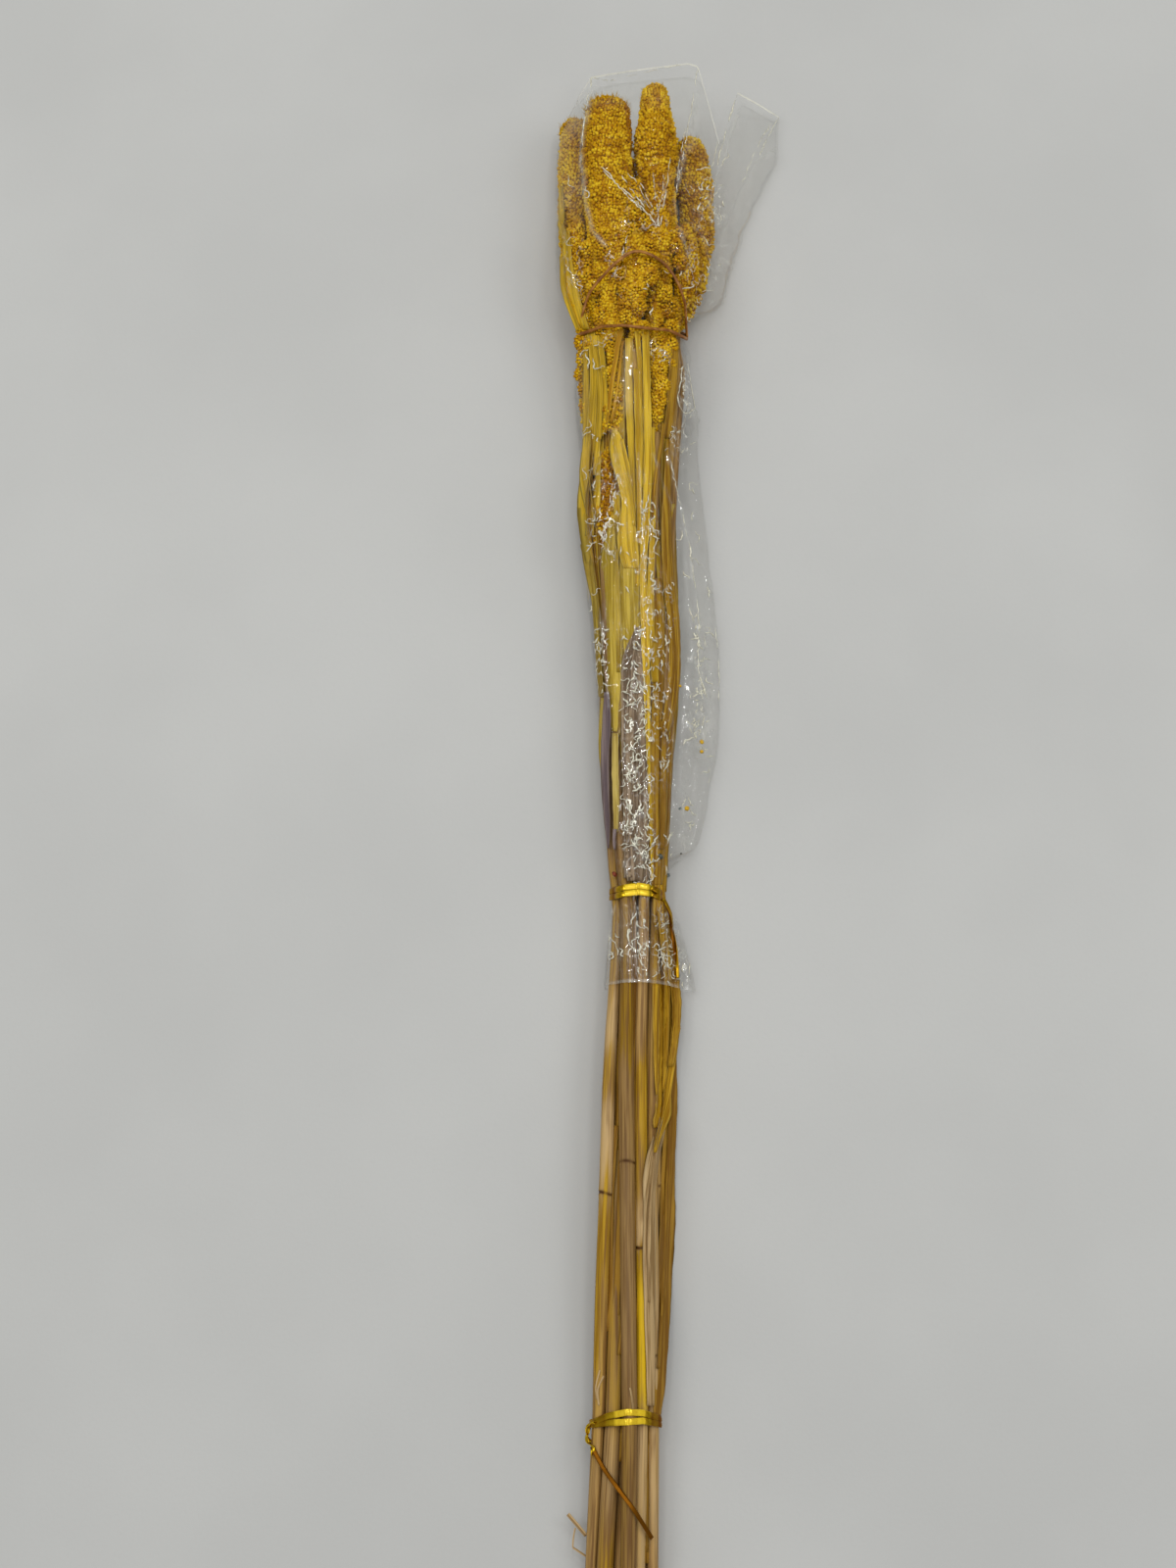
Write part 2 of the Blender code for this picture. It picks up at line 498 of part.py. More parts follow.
def rubber_band(rows, collection):
    """A band wound twice: a tight turn, and a turn whose upper side stands up as a loose arch."""
    lift = FILM_THICK + BAND_LIFT + BAND_R
    far_y = BAND_Y + BAND_PITCH
    near = ring_offset(film_ring(rows, BAND_Y), lift)
    far = ring_offset(film_ring(rows, far_y), lift)
    cross = ring_offset(film_ring(rows, BAND_Y + BAND_PITCH / 2), lift)
    high = ring_offset(film_ring(rows, BAND_Y + BAND_PITCH / 2), lift + BAND_HOP)
    sides = len(near)
    left = sides // 2
    order = [(left - k) % sides for k in range(sides)]
    points = [(near[j][0], BAND_Y, near[j][1]) for j in order[1:]]
    points.append((cross[left][0], BAND_Y + BAND_PITCH / 2, cross[left][1]))
    low_x, high_x = near[:, 0].min(), near[:, 0].max()
    for k in range(1, 2 * left):
        corner = left - k / 2
        x = at_corner(near, corner)[0]
        rise = max(0.0, 1.0 - (2 * (x - low_x) / (high_x - low_x) - 1) ** 2)
        y = far_y + (LOOP_RISE - BAND_PITCH) * rise
        x, z = at_corner(ring_offset(film_ring(rows, y), lift + LOOP_LIFT * rise), corner)
        points.append((x, y, z))
    points += [(far[j][0], far_y, far[j][1]) for j in order[left:]]
    points.append((high[left][0], BAND_Y + BAND_PITCH / 2, high[left][1]))
    curve = bpy.data.curves.new("rubber_band", "CURVE")
    curve.dimensions = "3D"
    curve.bevel_depth = BAND_R * MM
    curve.bevel_resolution = 1
    spline = curve.splines.new("POLY")
    spline.use_cyclic_u = True
    spline.points.add(len(points) - 1)
    for point, (x, y, z) in zip(spline.points, points):
        point.co = (x * MM, y * MM, z * MM, 1.0)
    made = bpy.data.objects.new("rubber_band", curve)
    collection.objects.link(made)
    curve.materials.append(material("band"))
    return made


def ring_offset(outline, gap):
    """The outline moved outwards by gap."""
    middle = (outline.min(axis=0) + outline.max(axis=0)) / 2
    before, after = np.roll(outline, 1, axis=0), np.roll(outline, -1, axis=0)
    along = after - before
    along /= np.linalg.norm(along, axis=1)[:, None]
    out = np.stack([along[:, 1], -along[:, 0]], axis=1)
    out *= np.sign(((outline - middle) * out).sum(axis=1))[:, None]
    return outline + out * gap


def at_corner(outline, corner):
    """The point at a corner number of the outline, or part of the way to the next one."""
    whole = math.floor(corner)
    here, after = outline[whole % len(outline)], outline[(whole + 1) % len(outline)]
    return here + (after - here) * (corner - whole)


def ribbon(name, points, normals, width, thick, colour, collection):
    """A flat strip along points, its face turned to normals, with its thickness outwards."""
    shape = bmesh.new()
    bmesh.ops.create_grid(shape, x_segments=1, y_segments=len(points) - 1, size=1.0)
    verts = sorted(shape.verts, key=lambda v: (round(v.co.y, 6), v.co.x))
    points = [np.array(p, float) for p in points]
    for k, point in enumerate(points):
        ahead = points[min(k + 1, len(points) - 1)] - points[max(k - 1, 0)]
        side = np.cross(ahead, normals[k])
        side *= width / 2 / np.linalg.norm(side)
        verts[2 * k].co = (point - side) * MM
        verts[2 * k + 1].co = (point + side) * MM
    bmesh.ops.recalc_face_normals(shape, faces=shape.faces)
    first = shape.faces[:][0]
    if first.normal.dot(normals[0]) < 0:
        bmesh.ops.reverse_faces(shape, faces=shape.faces)
    mesh = bpy.data.meshes.new(name)
    shape.to_mesh(mesh)
    shape.free()
    made = add_object(name, mesh, colour, collection)
    solid = made.modifiers.new("thickness", "SOLIDIFY")
    solid.thickness = thick * MM
    solid.offset = 1.0
    return made


def gold_tie(name, outline_at, y_middle, start, step, tail, collection):
    """A twist tie: a flat gold strip wound twice round the bunch, its long end lying free.

    It starts at corner number start of the outline and goes round by step, +1 or -1. The tail
    is a list of (corner, y) that its last turn runs on to.
    """
    stops = []
    sides = len(outline_at(y_middle))
    for k in range(2 * sides + 1):
        stops.append((start + step * k, y_middle - TIE_PITCH * (k / sides - 1.0), 0.0))
    stops += [(corner, y, TAIL_LIFT) for corner, y in tail]
    points, normals = [], []
    for corner, y, lift in stops:
        outline = outline_at(y)
        x, z = at_corner(ring_offset(outline, lift), corner)
        out_x, out_z = at_corner(ring_offset(outline, lift + 1.0), corner)
        points.append((x, y, z))
        normals.append((out_x - x, 0.0, out_z - z))
    return ribbon(name, points, normals, TIE_WIDTH, TIE_THICK, "gold", collection)


def upper_tie(rows, collection):
    """The tie round the sleeve, its end hanging down the right side of the sleeve's skirt."""
    def outline_at(y):
        return ring_offset(film_ring(rows, y), FILM_THICK + TOUCH_GAP)

    return gold_tie("gold_tie_upper", outline_at, TIE_UPPER_Y, UPPER_START, 1, UPPER_TAIL, collection)


def lower_tie(rows, collection):
    """The tie round the bare stems, its long end lying slantwise over them."""
    def outline_at(y):
        return ring(rows, y, STATION, TOUCH_GAP, FILM_SIDES)

    return gold_tie("gold_tie_lower", outline_at, TIE_LOWER_Y, LOWER_START, -1, LOWER_TAIL, collection)


def rest_on_origin(collection):
    """Move the whole bunch so that the middle of the bottom of its bounding box is the origin."""
    graph = bpy.context.evaluated_depsgraph_get()
    corners = []
    for made in collection.objects:
        seen = made.evaluated_get(graph)
        mesh = seen.to_mesh()
        corners += [seen.matrix_world @ vert.co for vert in mesh.vertices]
        seen.to_mesh_clear()
    corners = np.array(corners)
    low, high = corners.min(axis=0), corners.max(axis=0)
    base = bpy.data.objects.new("bunch_base", None)
    collection.objects.link(base)
    base.location = (-(low[0] + high[0]) / 2, -(low[1] + high[1]) / 2, -low[2])
    for made in list(collection.objects):
        if made is not base:
            made.parent = base


def build():
    for old in list(bpy.data.objects):
        bpy.data.objects.remove(old)
    collection = bpy.data.collections.new("millet_bunch")
    bpy.context.scene.collection.children.link(collection)
    lines = settle(STRANDS)
    for index, strand in enumerate(STRANDS):
        stem(index, strand, lines, collection)
        seed_head(index, strand, lines, collection)
    strands_only = samples(STRANDS, lines)
    covered = list(strands_only)
    for spec in LEAVES:
        covered += [tuple(row) for row in leaf(spec, strands_only, collection)]
    held = film_rows(covered)
    film_sleeve(held, collection)
    rubber_band(held, collection)
    upper_tie(held, collection)
    lower_tie(covered, collection)
    rest_on_origin(collection)


build()
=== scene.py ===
"""The looks of a bunch of dried, dyed millet in a clear sleeve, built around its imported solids.

Sizes are in millimetres, in the bunch's own frame: x across it, y along it from the middle of its
visible length towards the seed heads, z up from the surface it lies on. The stems, heads, leaves
and film follow the solids they replace, read from the frame. CAD nodes are never changed.
"""
import json
import math

import bpy
import numpy as np
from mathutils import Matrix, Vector
from mathutils.bvhtree import BVHTree

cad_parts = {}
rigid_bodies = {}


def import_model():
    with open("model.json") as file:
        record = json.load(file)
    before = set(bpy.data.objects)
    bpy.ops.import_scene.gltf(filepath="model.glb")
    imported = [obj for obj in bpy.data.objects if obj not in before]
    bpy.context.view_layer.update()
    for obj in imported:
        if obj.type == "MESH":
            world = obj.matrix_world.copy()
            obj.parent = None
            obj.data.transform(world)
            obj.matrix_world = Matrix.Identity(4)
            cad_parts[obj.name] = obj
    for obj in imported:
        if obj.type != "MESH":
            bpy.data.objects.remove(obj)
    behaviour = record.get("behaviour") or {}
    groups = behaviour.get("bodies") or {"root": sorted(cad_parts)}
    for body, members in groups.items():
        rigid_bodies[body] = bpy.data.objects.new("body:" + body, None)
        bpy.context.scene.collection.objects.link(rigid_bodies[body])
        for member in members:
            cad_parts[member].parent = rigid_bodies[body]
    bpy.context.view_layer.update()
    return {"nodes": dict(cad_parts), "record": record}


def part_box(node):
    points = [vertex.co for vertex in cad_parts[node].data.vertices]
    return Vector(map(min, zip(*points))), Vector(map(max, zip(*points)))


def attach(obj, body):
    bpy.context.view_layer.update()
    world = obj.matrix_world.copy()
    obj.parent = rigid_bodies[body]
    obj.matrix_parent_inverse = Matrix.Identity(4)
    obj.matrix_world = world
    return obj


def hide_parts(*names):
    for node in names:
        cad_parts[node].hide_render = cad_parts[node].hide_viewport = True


for made in list(bpy.data.objects):
    bpy.data.objects.remove(made)

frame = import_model()

MM = 0.001

# The bunch's frame: where the sleeve's left edge and mouth are in it
SLEEVE_LEFT_X = -14.93
SLEEVE_MOUTH_Y = 345.1
SHIFT = np.array([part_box("film_sleeve")[0].x / MM - SLEEVE_LEFT_X,
                  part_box("film_sleeve")[1].y / MM - SLEEVE_MOUTH_Y, 0.0])

# Lengths along the bunch
CUT_END = -355.0
TIE_LOWER_Y = -260.0
TIE_UPPER_Y = -50.0
BAND_Y = 203.0
SKIRT_Y = -90.0
MOUTH_Y = 345.0

# How far the band draws the bunch in, over which length, and towards which x
WAIST = 0.17
WAIST_REACH = 13.0
WAIST_X = 20.0

# Camera: straight over the middle of the visible length, tilted towards the heads
CAMERA_TILT = math.radians(16.0)
CAMERA_FAR = 930.0
LENS = 50.0


# Numbers that look random but are the same every time

def lattice(ix, iy, iz, seed):
    """A value in 0..1 for each lattice point."""
    n = (ix * 374761393 + iy * 668265263 + iz * 1442695041 + seed * 974634777) & 0x7FFFFFFF
    n = ((n ^ (n >> 13)) * 1274126177) & 0x7FFFFFFF
    return ((n ^ (n >> 16)) & 0xFFFF) / 65535.0


def noise(x, y, z=0.0, seed=0):
    """Smooth noise in -1..1 with a period of about one unit."""
    x, y, z = np.broadcast_arrays(np.asarray(x, float), np.asarray(y, float), np.asarray(z, float))
    floor = [np.floor(v).astype(np.int64) for v in (x, y, z)]
    t = [v - f for v, f in zip((x, y, z), floor)]
    t = [v * v * (3 - 2 * v) for v in t]
    total = np.zeros(x.shape)
    for dx in (0, 1):
        wx = t[0] if dx else 1 - t[0]
        for dy in (0, 1):
            wy = t[1] if dy else 1 - t[1]
            for dz in (0, 1):
                wz = t[2] if dz else 1 - t[2]
                total += wx * wy * wz * lattice(floor[0] + dx, floor[1] + dy, floor[2] + dz, seed)
    return 2 * total - 1


def fractal(x, y, z=0.0, seed=0, octaves=3):
    total, size = 0.0, 1.0
    for k in range(octaves):
        total = total + size * noise(x * 2 ** k, y * 2 ** k, z * 2 ** k, seed + 17 * k)
        size *= 0.5
    return total / (2 - 2 * size)


def ridges(x, y, z=0.0, seed=0):
    """Sharp crests in 0..1 along the zero lines of smooth noise."""
    return 1 - np.minimum(1.0, np.abs(noise(x, y, z, seed)) * 2.2)


def smooth_step(low, high, value):
    t = np.clip((np.asarray(value, float) - low) / (high - low), 0, 1)
    return t * t * (3 - 2 * t)


def unit(vectors):
    vectors = np.asarray(vectors, float)
    return vectors / np.maximum(np.linalg.norm(vectors, axis=-1, keepdims=True), 1e-12)


# Shader maths

class Wire:
    """A socket in a material's nodes. Sums on it add Math nodes."""

    def __init__(self, finish, socket):
        self.finish = finish
        self.socket = socket

    def maths(self, operation, first, second=0.0, clamp=False):
        settings = {"operation": operation, "use_clamp": clamp}
        return self.finish.node("ShaderNodeMath", settings, {0: first, 1: second})

    def __add__(self, other):
        return self.maths("ADD", self, other)

    def __radd__(self, other):
        return self.maths("ADD", other, self)

    def __sub__(self, other):
        return self.maths("SUBTRACT", self, other)

    def __rsub__(self, other):
        return self.maths("SUBTRACT", other, self)

    def __mul__(self, other):
        return self.maths("MULTIPLY", self, other)

    def __rmul__(self, other):
        return self.maths("MULTIPLY", other, self)

    def __truediv__(self, other):
        return self.maths("DIVIDE", self, other)

    def __pow__(self, other):
        return self.maths("POWER", self, other)

    def clamped(self):
        return self.maths("ADD", self, 0.0, clamp=True)


class Finish:
    """A material being made for one of the bunch's surfaces."""

    def __init__(self, name):
        self.material = bpy.data.materials.new(name)
        self.material.use_nodes = True
        self.tree = self.material.node_tree
        self.tree.nodes.clear()

    def node(self, kind, settings=None, inputs=None, output=0):
        """Add a node. Settings are set first; inputs are values or wires by name or number."""
        made = self.tree.nodes.new(kind)
        for key, value in (settings or {}).items():
            if key == "stops":
                self.ramp_stops(made, value)
            else:
                setattr(made, key, value)
        for key, value in (inputs or {}).items():
            if isinstance(value, Wire):
                self.tree.links.new(value.socket, made.inputs[key])
            elif value is not None:
                made.inputs[key].default_value = value
        return Wire(self, made.outputs[output])

    def ramp_stops(self, made, stops):
        elements = made.color_ramp.elements
        while len(elements) < len(stops):
            elements.new(0.5)
        for element, (place, colour) in zip(elements, stops):
            element.position = place
            element.color = (*colour, 1.0)

    def attribute(self, name, output="Fac"):
        made = self.node("ShaderNodeAttribute", {"attribute_name": name})
        made.socket = made.socket.node.outputs[output]
        return made

    def grain(self, name, scale, stretch, detail=3.0, rough=0.55):
        """Noise along the fibres: name holds millimetres across, along and a piece's own number."""
        spread = self.node("ShaderNodeVectorMath", {"operation": "MULTIPLY"},
                           {0: self.attribute(name, "Vector"), 1: (scale, scale / stretch, 1.0)})
        return self.node("ShaderNodeTexNoise", None,
                         {"Vector": spread, "Scale": 1.0, "Detail": detail, "Roughness": rough})

    def steps(self, wire, low, high):
        """Spread low..high of a wire to 0..1."""
        return self.node("ShaderNodeMapRange", {"clamp": True, "interpolation_type": "SMOOTHSTEP"},
                         {"Value": wire, "From Min": low, "From Max": high})

    def mix(self, share, first, second, blend="MIX"):
        """Mix two colours."""
        colour = [(*c, 1.0) if isinstance(c, tuple) else c for c in (first, second)]
        return self.node("ShaderNodeMix", {"data_type": "RGBA", "blend_type": blend, "clamp_factor": True},
                         {0: share, 6: colour[0], 7: colour[1]}, output=2)

    def bump(self, height, strength, distance, under=None):
        return self.node("ShaderNodeBump", None, {"Height": height, "Strength": strength,
                                                  "Distance": distance, "Normal": under})

    def principled(self, colour, rough, **others):
        inputs = {"Base Color": (*colour, 1.0) if isinstance(colour, tuple) else colour, "Roughness": rough}
        inputs.update({key.replace("_", " "): value for key, value in others.items()})
        return self.node("ShaderNodeBsdfPrincipled", None, inputs)

    def done(self, shader):
        self.node_out = self.tree.nodes.new("ShaderNodeOutputMaterial")
        self.tree.links.new(shader.socket, self.node_out.inputs["Surface"])
        return self.material


def place(self):
    """The point on the piece, in metres."""
    return self.node("ShaderNodeTexCoord", None, None, output=3)


Finish.place = place


def straw_finish():
    """Dry stalk: tan and pale fibres, yellow dye where it took, dark joints."""
    f = Finish("straw")
    fine = f.grain("fibre", 1.5, 70.0, 3.0, 0.6)
    broad = f.grain("fibre", 0.5, 20.0, 3.0)
    blotch = f.grain("fibre", 0.12, 3.0, 2.0)
    dye, pale, mark = (f.attribute(name) for name in ("dye", "pale", "mark"))
    tan = f.mix(f.steps(broad, 0.36, 0.64), (0.215, 0.108, 0.028), (0.500, 0.300, 0.100))
    tan = f.mix((pale * f.steps(blotch, 0.2, 0.6)).clamped() * 0.8, tan, (0.660, 0.455, 0.215))
    tan = f.mix(f.steps(fine, 0.52, 0.70) * 0.5, tan, (0.130, 0.052, 0.012))
    dyed = f.mix(f.steps(broad, 0.36, 0.64), (0.250, 0.118, 0.004), (0.520, 0.300, 0.014))
    dyed = f.mix(f.attribute("bright") * (0.5 + 0.5 * f.steps(broad, 0.3, 0.6)), dyed, (0.740, 0.470, 0.008))
    share = dye * 1.35 * f.steps(broad + blotch * 0.6, 0.45, 0.95) + f.attribute("bright") * 0.8
    colour = f.mix(share.clamped(), tan, dyed)
    colour = f.mix(f.steps(fine, 0.56, 0.74) * 0.3, colour, (0.140, 0.055, 0.008))
    colour = f.mix(mark, colour, (0.075, 0.026, 0.004))
    normal = f.bump(fine * 0.6 + broad * 0.4, 0.6, 0.0004)
    return f.done(f.principled(colour, 0.42 + 0.22 * fine, Normal=normal, Specular_IOR_Level=0.22))


def leaf_finish(name, deep, light, edge, ribs=1.0):
    """Dry leaf: fine ribs along it, streaks between two tones, a paler edge, and a dark line painted at the very edge
    as the shade between overlapping leaves.
    """
    f = Finish(name)
    fine = f.grain("fibre", 1.9, 90.0, 3.0, 0.6)
    broad = f.grain("fibre", 0.7, 26.0, 3.0)
    blotch = f.grain("fibre", 0.16, 2.5, 3.0)
    rim, mark = f.attribute("rim"), f.attribute("mark")
    colour = f.mix(f.steps(broad * 0.55 + fine * 0.45, 0.45, 0.57), deep, light)
    colour = f.mix(f.steps(blotch, 0.55, 0.78) * 0.5, colour, deep)
    colour = f.mix(f.steps(rim, 0.0, 0.4) * 0.4, colour, edge)
    # Painted shade: a thin dark brown line at the outermost edge, for the shade between overlapping leaves
    colour = f.mix(f.steps(rim, 0.45, 0.95) * 0.42, colour, (0.150, 0.075, 0.004))
    colour = f.mix((mark * f.steps(blotch, 0.25, 0.6)).clamped() * 0.8, colour, (0.150, 0.058, 0.006))
    colour = f.mix(f.steps(fine, 0.58, 0.72) * 0.35, colour, (0.130, 0.062, 0.003))
    normal = f.bump(fine * ribs + broad * 0.3, 0.6, 0.00035)
    return f.done(f.principled(colour, 0.45 + 0.25 * fine, Normal=normal, Specular_IOR_Level=0.16))


def grain_finish(name, deep, mid, light):
    """Seed grains: each with its own tone, with painted shade darkening them between the lobes, at their feet and on
    the core.
    """
    f = Finish(name)
    tint, depth = f.attribute("tint"), f.attribute("depth")
    speck = f.node("ShaderNodeTexNoise", None, {"Vector": f.place(), "Scale": 900.0, "Detail": 3.0})
    colour = f.mix(f.steps(tint, 0.0, 0.55), deep, mid)
    colour = f.mix(f.steps(tint, 0.5, 1.0), colour, light)
    colour = f.mix(f.steps(speck, 0.56, 0.78) * 0.3, colour, light)
    # Painted shade: depth darkens grains in the clefts between lobes, at their feet and on the core under them
    colour = f.mix((depth * 0.62).clamped(), colour, (0.330, 0.135, 0.001))
    normal = f.bump(speck, 0.35, 0.00018)
    return f.done(f.principled(colour, 0.7, Normal=normal, Specular_IOR_Level=0.12))


def bristle_finish():
    f = Finish("bristle")
    streak = f.node("ShaderNodeTexNoise", None, {"Vector": f.place(), "Scale": 800.0, "Detail": 2.0})
    colour = f.mix(f.attribute("tint") * 0.7 + streak * 0.3, (0.480, 0.250, 0.010), (0.800, 0.560, 0.090))
    return f.done(f.principled(colour, 0.5))


def film_finish():
    """Clear crinkled film: see-through, with mirror glints, milky where doubled, and with white creases and glint lines
    painted on.
    """
    f = Finish("clear_film")
    milk, crease = f.attribute("milk"), f.attribute("crease")
    haze = f.node("ShaderNodeTexNoise", None, {"Vector": f.place(), "Scale": 60.0, "Detail": 2.0})
    tiny = f.node("ShaderNodeTexNoise", None, {"Vector": f.place(), "Scale": 330.0, "Detail": 2.0})
    edge = f.node("ShaderNodeLayerWeight", None, {"Blend": 0.30}, output=0)
    # Crinkles: the edges of small warped cells, broken here and there, painted bright as glint lines
    warp = f.node("ShaderNodeTexNoise", None, {"Vector": f.place(), "Scale": 240.0, "Detail": 2.0}, output=1)
    bent = f.node("ShaderNodeVectorMath", {"operation": "MULTIPLY_ADD"},
                  {0: warp, 1: (0.0060, 0.0060, 0.0060), 2: f.place()})
    bent = f.node("ShaderNodeVectorMath", {"operation": "MULTIPLY"}, {0: bent, 1: (290.0, 96.0, 290.0)})
    cells = f.node("ShaderNodeTexVoronoi", {"feature": "DISTANCE_TO_EDGE"}, {"Vector": bent, "Scale": 1.0})
    parts = f.node("ShaderNodeTexNoise", None, {"Vector": f.place(), "Scale": 150.0, "Detail": 3.0})
    broken = f.steps(parts, 0.475, 0.535)
    glint_lines = f.steps(cells + 0.10 * haze, 0.100, 0.072) * broken * f.attribute("crinkle")
    white = (milk * (0.45 + 0.9 * haze) + crease * 0.8 + glint_lines).clamped()
    normal = f.bump(tiny + glint_lines, 0.30, 0.0006)
    mirror = f.principled((0.97, 0.97, 0.97), 0.06, Metallic=1.0, Normal=normal)
    # Painted highlight: this warm white shader carries the milky haze, the white creases and the painted glint lines
    cloud = f.principled((1.0, 0.975, 0.80), 0.24, Metallic=0.30)
    both = f.node("ShaderNodeMixShader", None, {0: white, 1: mirror, 2: cloud})
    clear = f.node("ShaderNodeBsdfTransparent", None, {"Color": (0.988, 0.988, 0.984, 1.0)})
    solid = (0.004 + edge * 0.20 + milk * 0.26 + crease * 0.62 + glint_lines * 0.95).clamped()
    return f.done(f.node("ShaderNodeMixShader", None, {0: solid, 1: clear, 2: both}))


def fold_finish():
    """A fold of the film: glossy, a little see-through, painted bright white as a glint."""
    f = Finish("folded_film_painted_glint")
    haze = f.node("ShaderNodeTexNoise", None, {"Vector": f.place(), "Scale": 500.0, "Detail": 3.0})
    painted_glint = f.principled((1.0, 0.975, 0.80), 0.22 + 0.2 * haze, Metallic=0.30)
    clear = f.node("ShaderNodeBsdfTransparent", None, {"Color": (0.98, 0.98, 0.98, 1.0)})
    solid = (0.55 + 0.6 * f.steps(haze, 0.40, 0.60)).clamped()
    return f.done(f.node("ShaderNodeMixShader", None, {0: solid, 1: clear, 2: painted_glint}))


def band_finish():
    """Natural rubber: brown-orange, slightly glossy, with fine dust."""
    f = Finish("brown_rubber")
    wear = f.node("ShaderNodeTexNoise", None, {"Vector": f.place(), "Scale": 300.0, "Detail": 4.0})
    colour = f.mix(f.steps(wear, 0.35, 0.7), (0.210, 0.066, 0.005), (0.450, 0.190, 0.026))
    normal = f.bump(wear, 0.3, 0.0003)
    return f.done(f.principled(colour, 0.32 + 0.2 * wear, Normal=normal))


def gold_finish():
    """Gold foil strip: bright metal with fine scuffs; browner, rougher and less metallic on its loose ends and where
    shade on its sides is painted.
    """
    f = Finish("gold_foil")
    wear = f.node("ShaderNodeTexNoise", None, {"Vector": f.place(), "Scale": 500.0, "Detail": 4.0})
    worn = f.attribute("worn")
    colour = f.mix(f.steps(wear, 0.52, 0.80), (1.000, 0.690, 0.020), (0.700, 0.360, 0.002))
    # Painted shade and wear: browner on the loose ends and on the tie's sides
    colour = f.mix(worn, colour, (0.250, 0.090, 0.004))
    normal = f.bump(wear, 0.16, 0.0003)
    rough = 0.12 + 0.10 * wear + 0.22 * worn
    metal = 0.28 + 0.67 * f.steps(worn, 0.0, 0.4)
    return f.done(f.principled(colour, rough, Metallic=metal, Normal=normal))


def seed_finish(name, dark, light):
    f = Finish(name)
    speck = f.node("ShaderNodeTexNoise", None, {"Vector": f.place(), "Scale": 1200.0, "Detail": 3.0})
    colour = f.mix(f.steps(speck, 0.35, 0.7), dark, light)
    return f.done(f.principled(colour, 0.5, Normal=f.bump(speck, 0.4, 0.0002)))


def table_finish():
    """The pale surface it lies on: near white, faintly mottled."""
    f = Finish("pale_table")
    cloud = f.node("ShaderNodeTexNoise", None, {"Vector": f.place(), "Scale": 6.0, "Detail": 6.0})
    fine = f.node("ShaderNodeTexNoise", None, {"Vector": f.place(), "Scale": 500.0, "Detail": 4.0})
    colour = f.mix(f.steps(cloud, 0.3, 0.7), (0.550, 0.550, 0.528), (0.590, 0.590, 0.566))
    colour = f.mix(f.steps(fine, 0.5, 0.8) * 0.12, colour, (0.52, 0.52, 0.50))
    return f.done(f.principled(colour, 0.6, Normal=f.bump(fine, 0.15, 0.0005), Specular_IOR_Level=0.2))


# Meshes

# Where the lower tie gathers the stalks: (y, shift of the left side, of the right side)
GATHERED = np.array([(-355, 3.0, -3.6), (-314, 3.2, -3.2), (-288, 3.4, -2.0), (-258, 3.7, -0.9), (-213, 2.5, 0.0),
                     (-167, 1.7, 0.0), (-131, 0.5, 0.0), (-109, 0.7, 0.0), (-95, 1.5, 0.0), (-73, 2.8, 0.0),
                     (-60, 3.4, 0.0), (-50, 2.6, 0.0), (-40, 1.0, 0.0), (-25, 0.0, 0.0)], float)


def gathered(points):
    """Points moved sideways where the lower tie gathers the stalks."""
    points = np.array(points, float)
    left = np.interp(points[..., 1], GATHERED[:, 0], GATHERED[:, 1])
    right = np.interp(points[..., 1], GATHERED[:, 0], GATHERED[:, 2])
    share = np.clip((points[..., 0] + 2.0) / 31.0, -0.2, 1.2)
    points[..., 0] += (1 - share) * left + share * right
    return points


def waist(points):
    """Points drawn in towards the middle where the band and the lower tie hold the bunch."""
    points = gathered(points)
    tight = WAIST * np.exp(-((points[..., 1] - BAND_Y) / WAIST_REACH) ** 2)
    points[..., 0] -= tight * (points[..., 0] - WAIST_X)
    return points


def mesh_piece(name, points, faces, finish, values=None, smooth=True):
    """An object from points in bunch millimetres and faces, which may be arrays of 3s or 4s."""
    mesh = bpy.data.meshes.new(name)
    points = (np.asarray(points, float) + SHIFT) * MM
    groups = [np.asarray(group) for group in (faces if isinstance(faces, list) else [faces])]
    groups = [group for group in groups if len(group)]
    corners = np.concatenate([group.reshape(-1) for group in groups]).astype(np.int32)
    sizes = np.concatenate([np.full(len(group), group.shape[1]) for group in groups])
    starts = np.concatenate([[0], np.cumsum(sizes)[:-1]]).astype(np.int32)
    mesh.vertices.add(len(points))
    mesh.vertices.foreach_set("co", points.ravel())
    mesh.loops.add(len(corners))
    mesh.loops.foreach_set("vertex_index", corners)
    mesh.polygons.add(len(sizes))
    mesh.polygons.foreach_set("loop_start", starts)
    mesh.update(calc_edges=True)
    mesh.validate()
    for key, value in (values or {}).items():
        value = np.asarray(value, float)
        kind = "FLOAT_VECTOR" if value.ndim == 2 else "FLOAT"
        layer = mesh.attributes.new(key, kind, "POINT")
        layer.data.foreach_set("vector" if value.ndim == 2 else "value", value.ravel().astype(np.float32))
    mesh.polygons.foreach_set("use_smooth", np.full(len(sizes), smooth))
    mesh.materials.append(finish)
    made = bpy.data.objects.new(name, mesh)
    bpy.context.scene.collection.objects.link(made)
    return made


class Heap:
    """Points, faces and values of many small shapes, gathered for one piece."""

    def __init__(self):
        self.points = []
        self.faces = []
        self.values = {}
        self.count = 0

    def put(self, points, faces, **values):
        points = np.asarray(points, float).reshape(-1, 3)
        self.points.append(points)
        for group in faces if isinstance(faces, list) else [faces]:
            self.faces.append(np.asarray(group) + self.count)
        for key, value in values.items():
            value = np.asarray(value, float)
            if value.ndim == 0:
                value = np.full(len(points), float(value))
            self.values.setdefault(key, []).append(value)
        self.count += len(points)

    def piece(self, name, finish, smooth=True):
        values = {key: np.concatenate(parts) for key, parts in self.values.items()}
        return mesh_piece(name, np.concatenate(self.points), self.faces, finish, values, smooth)


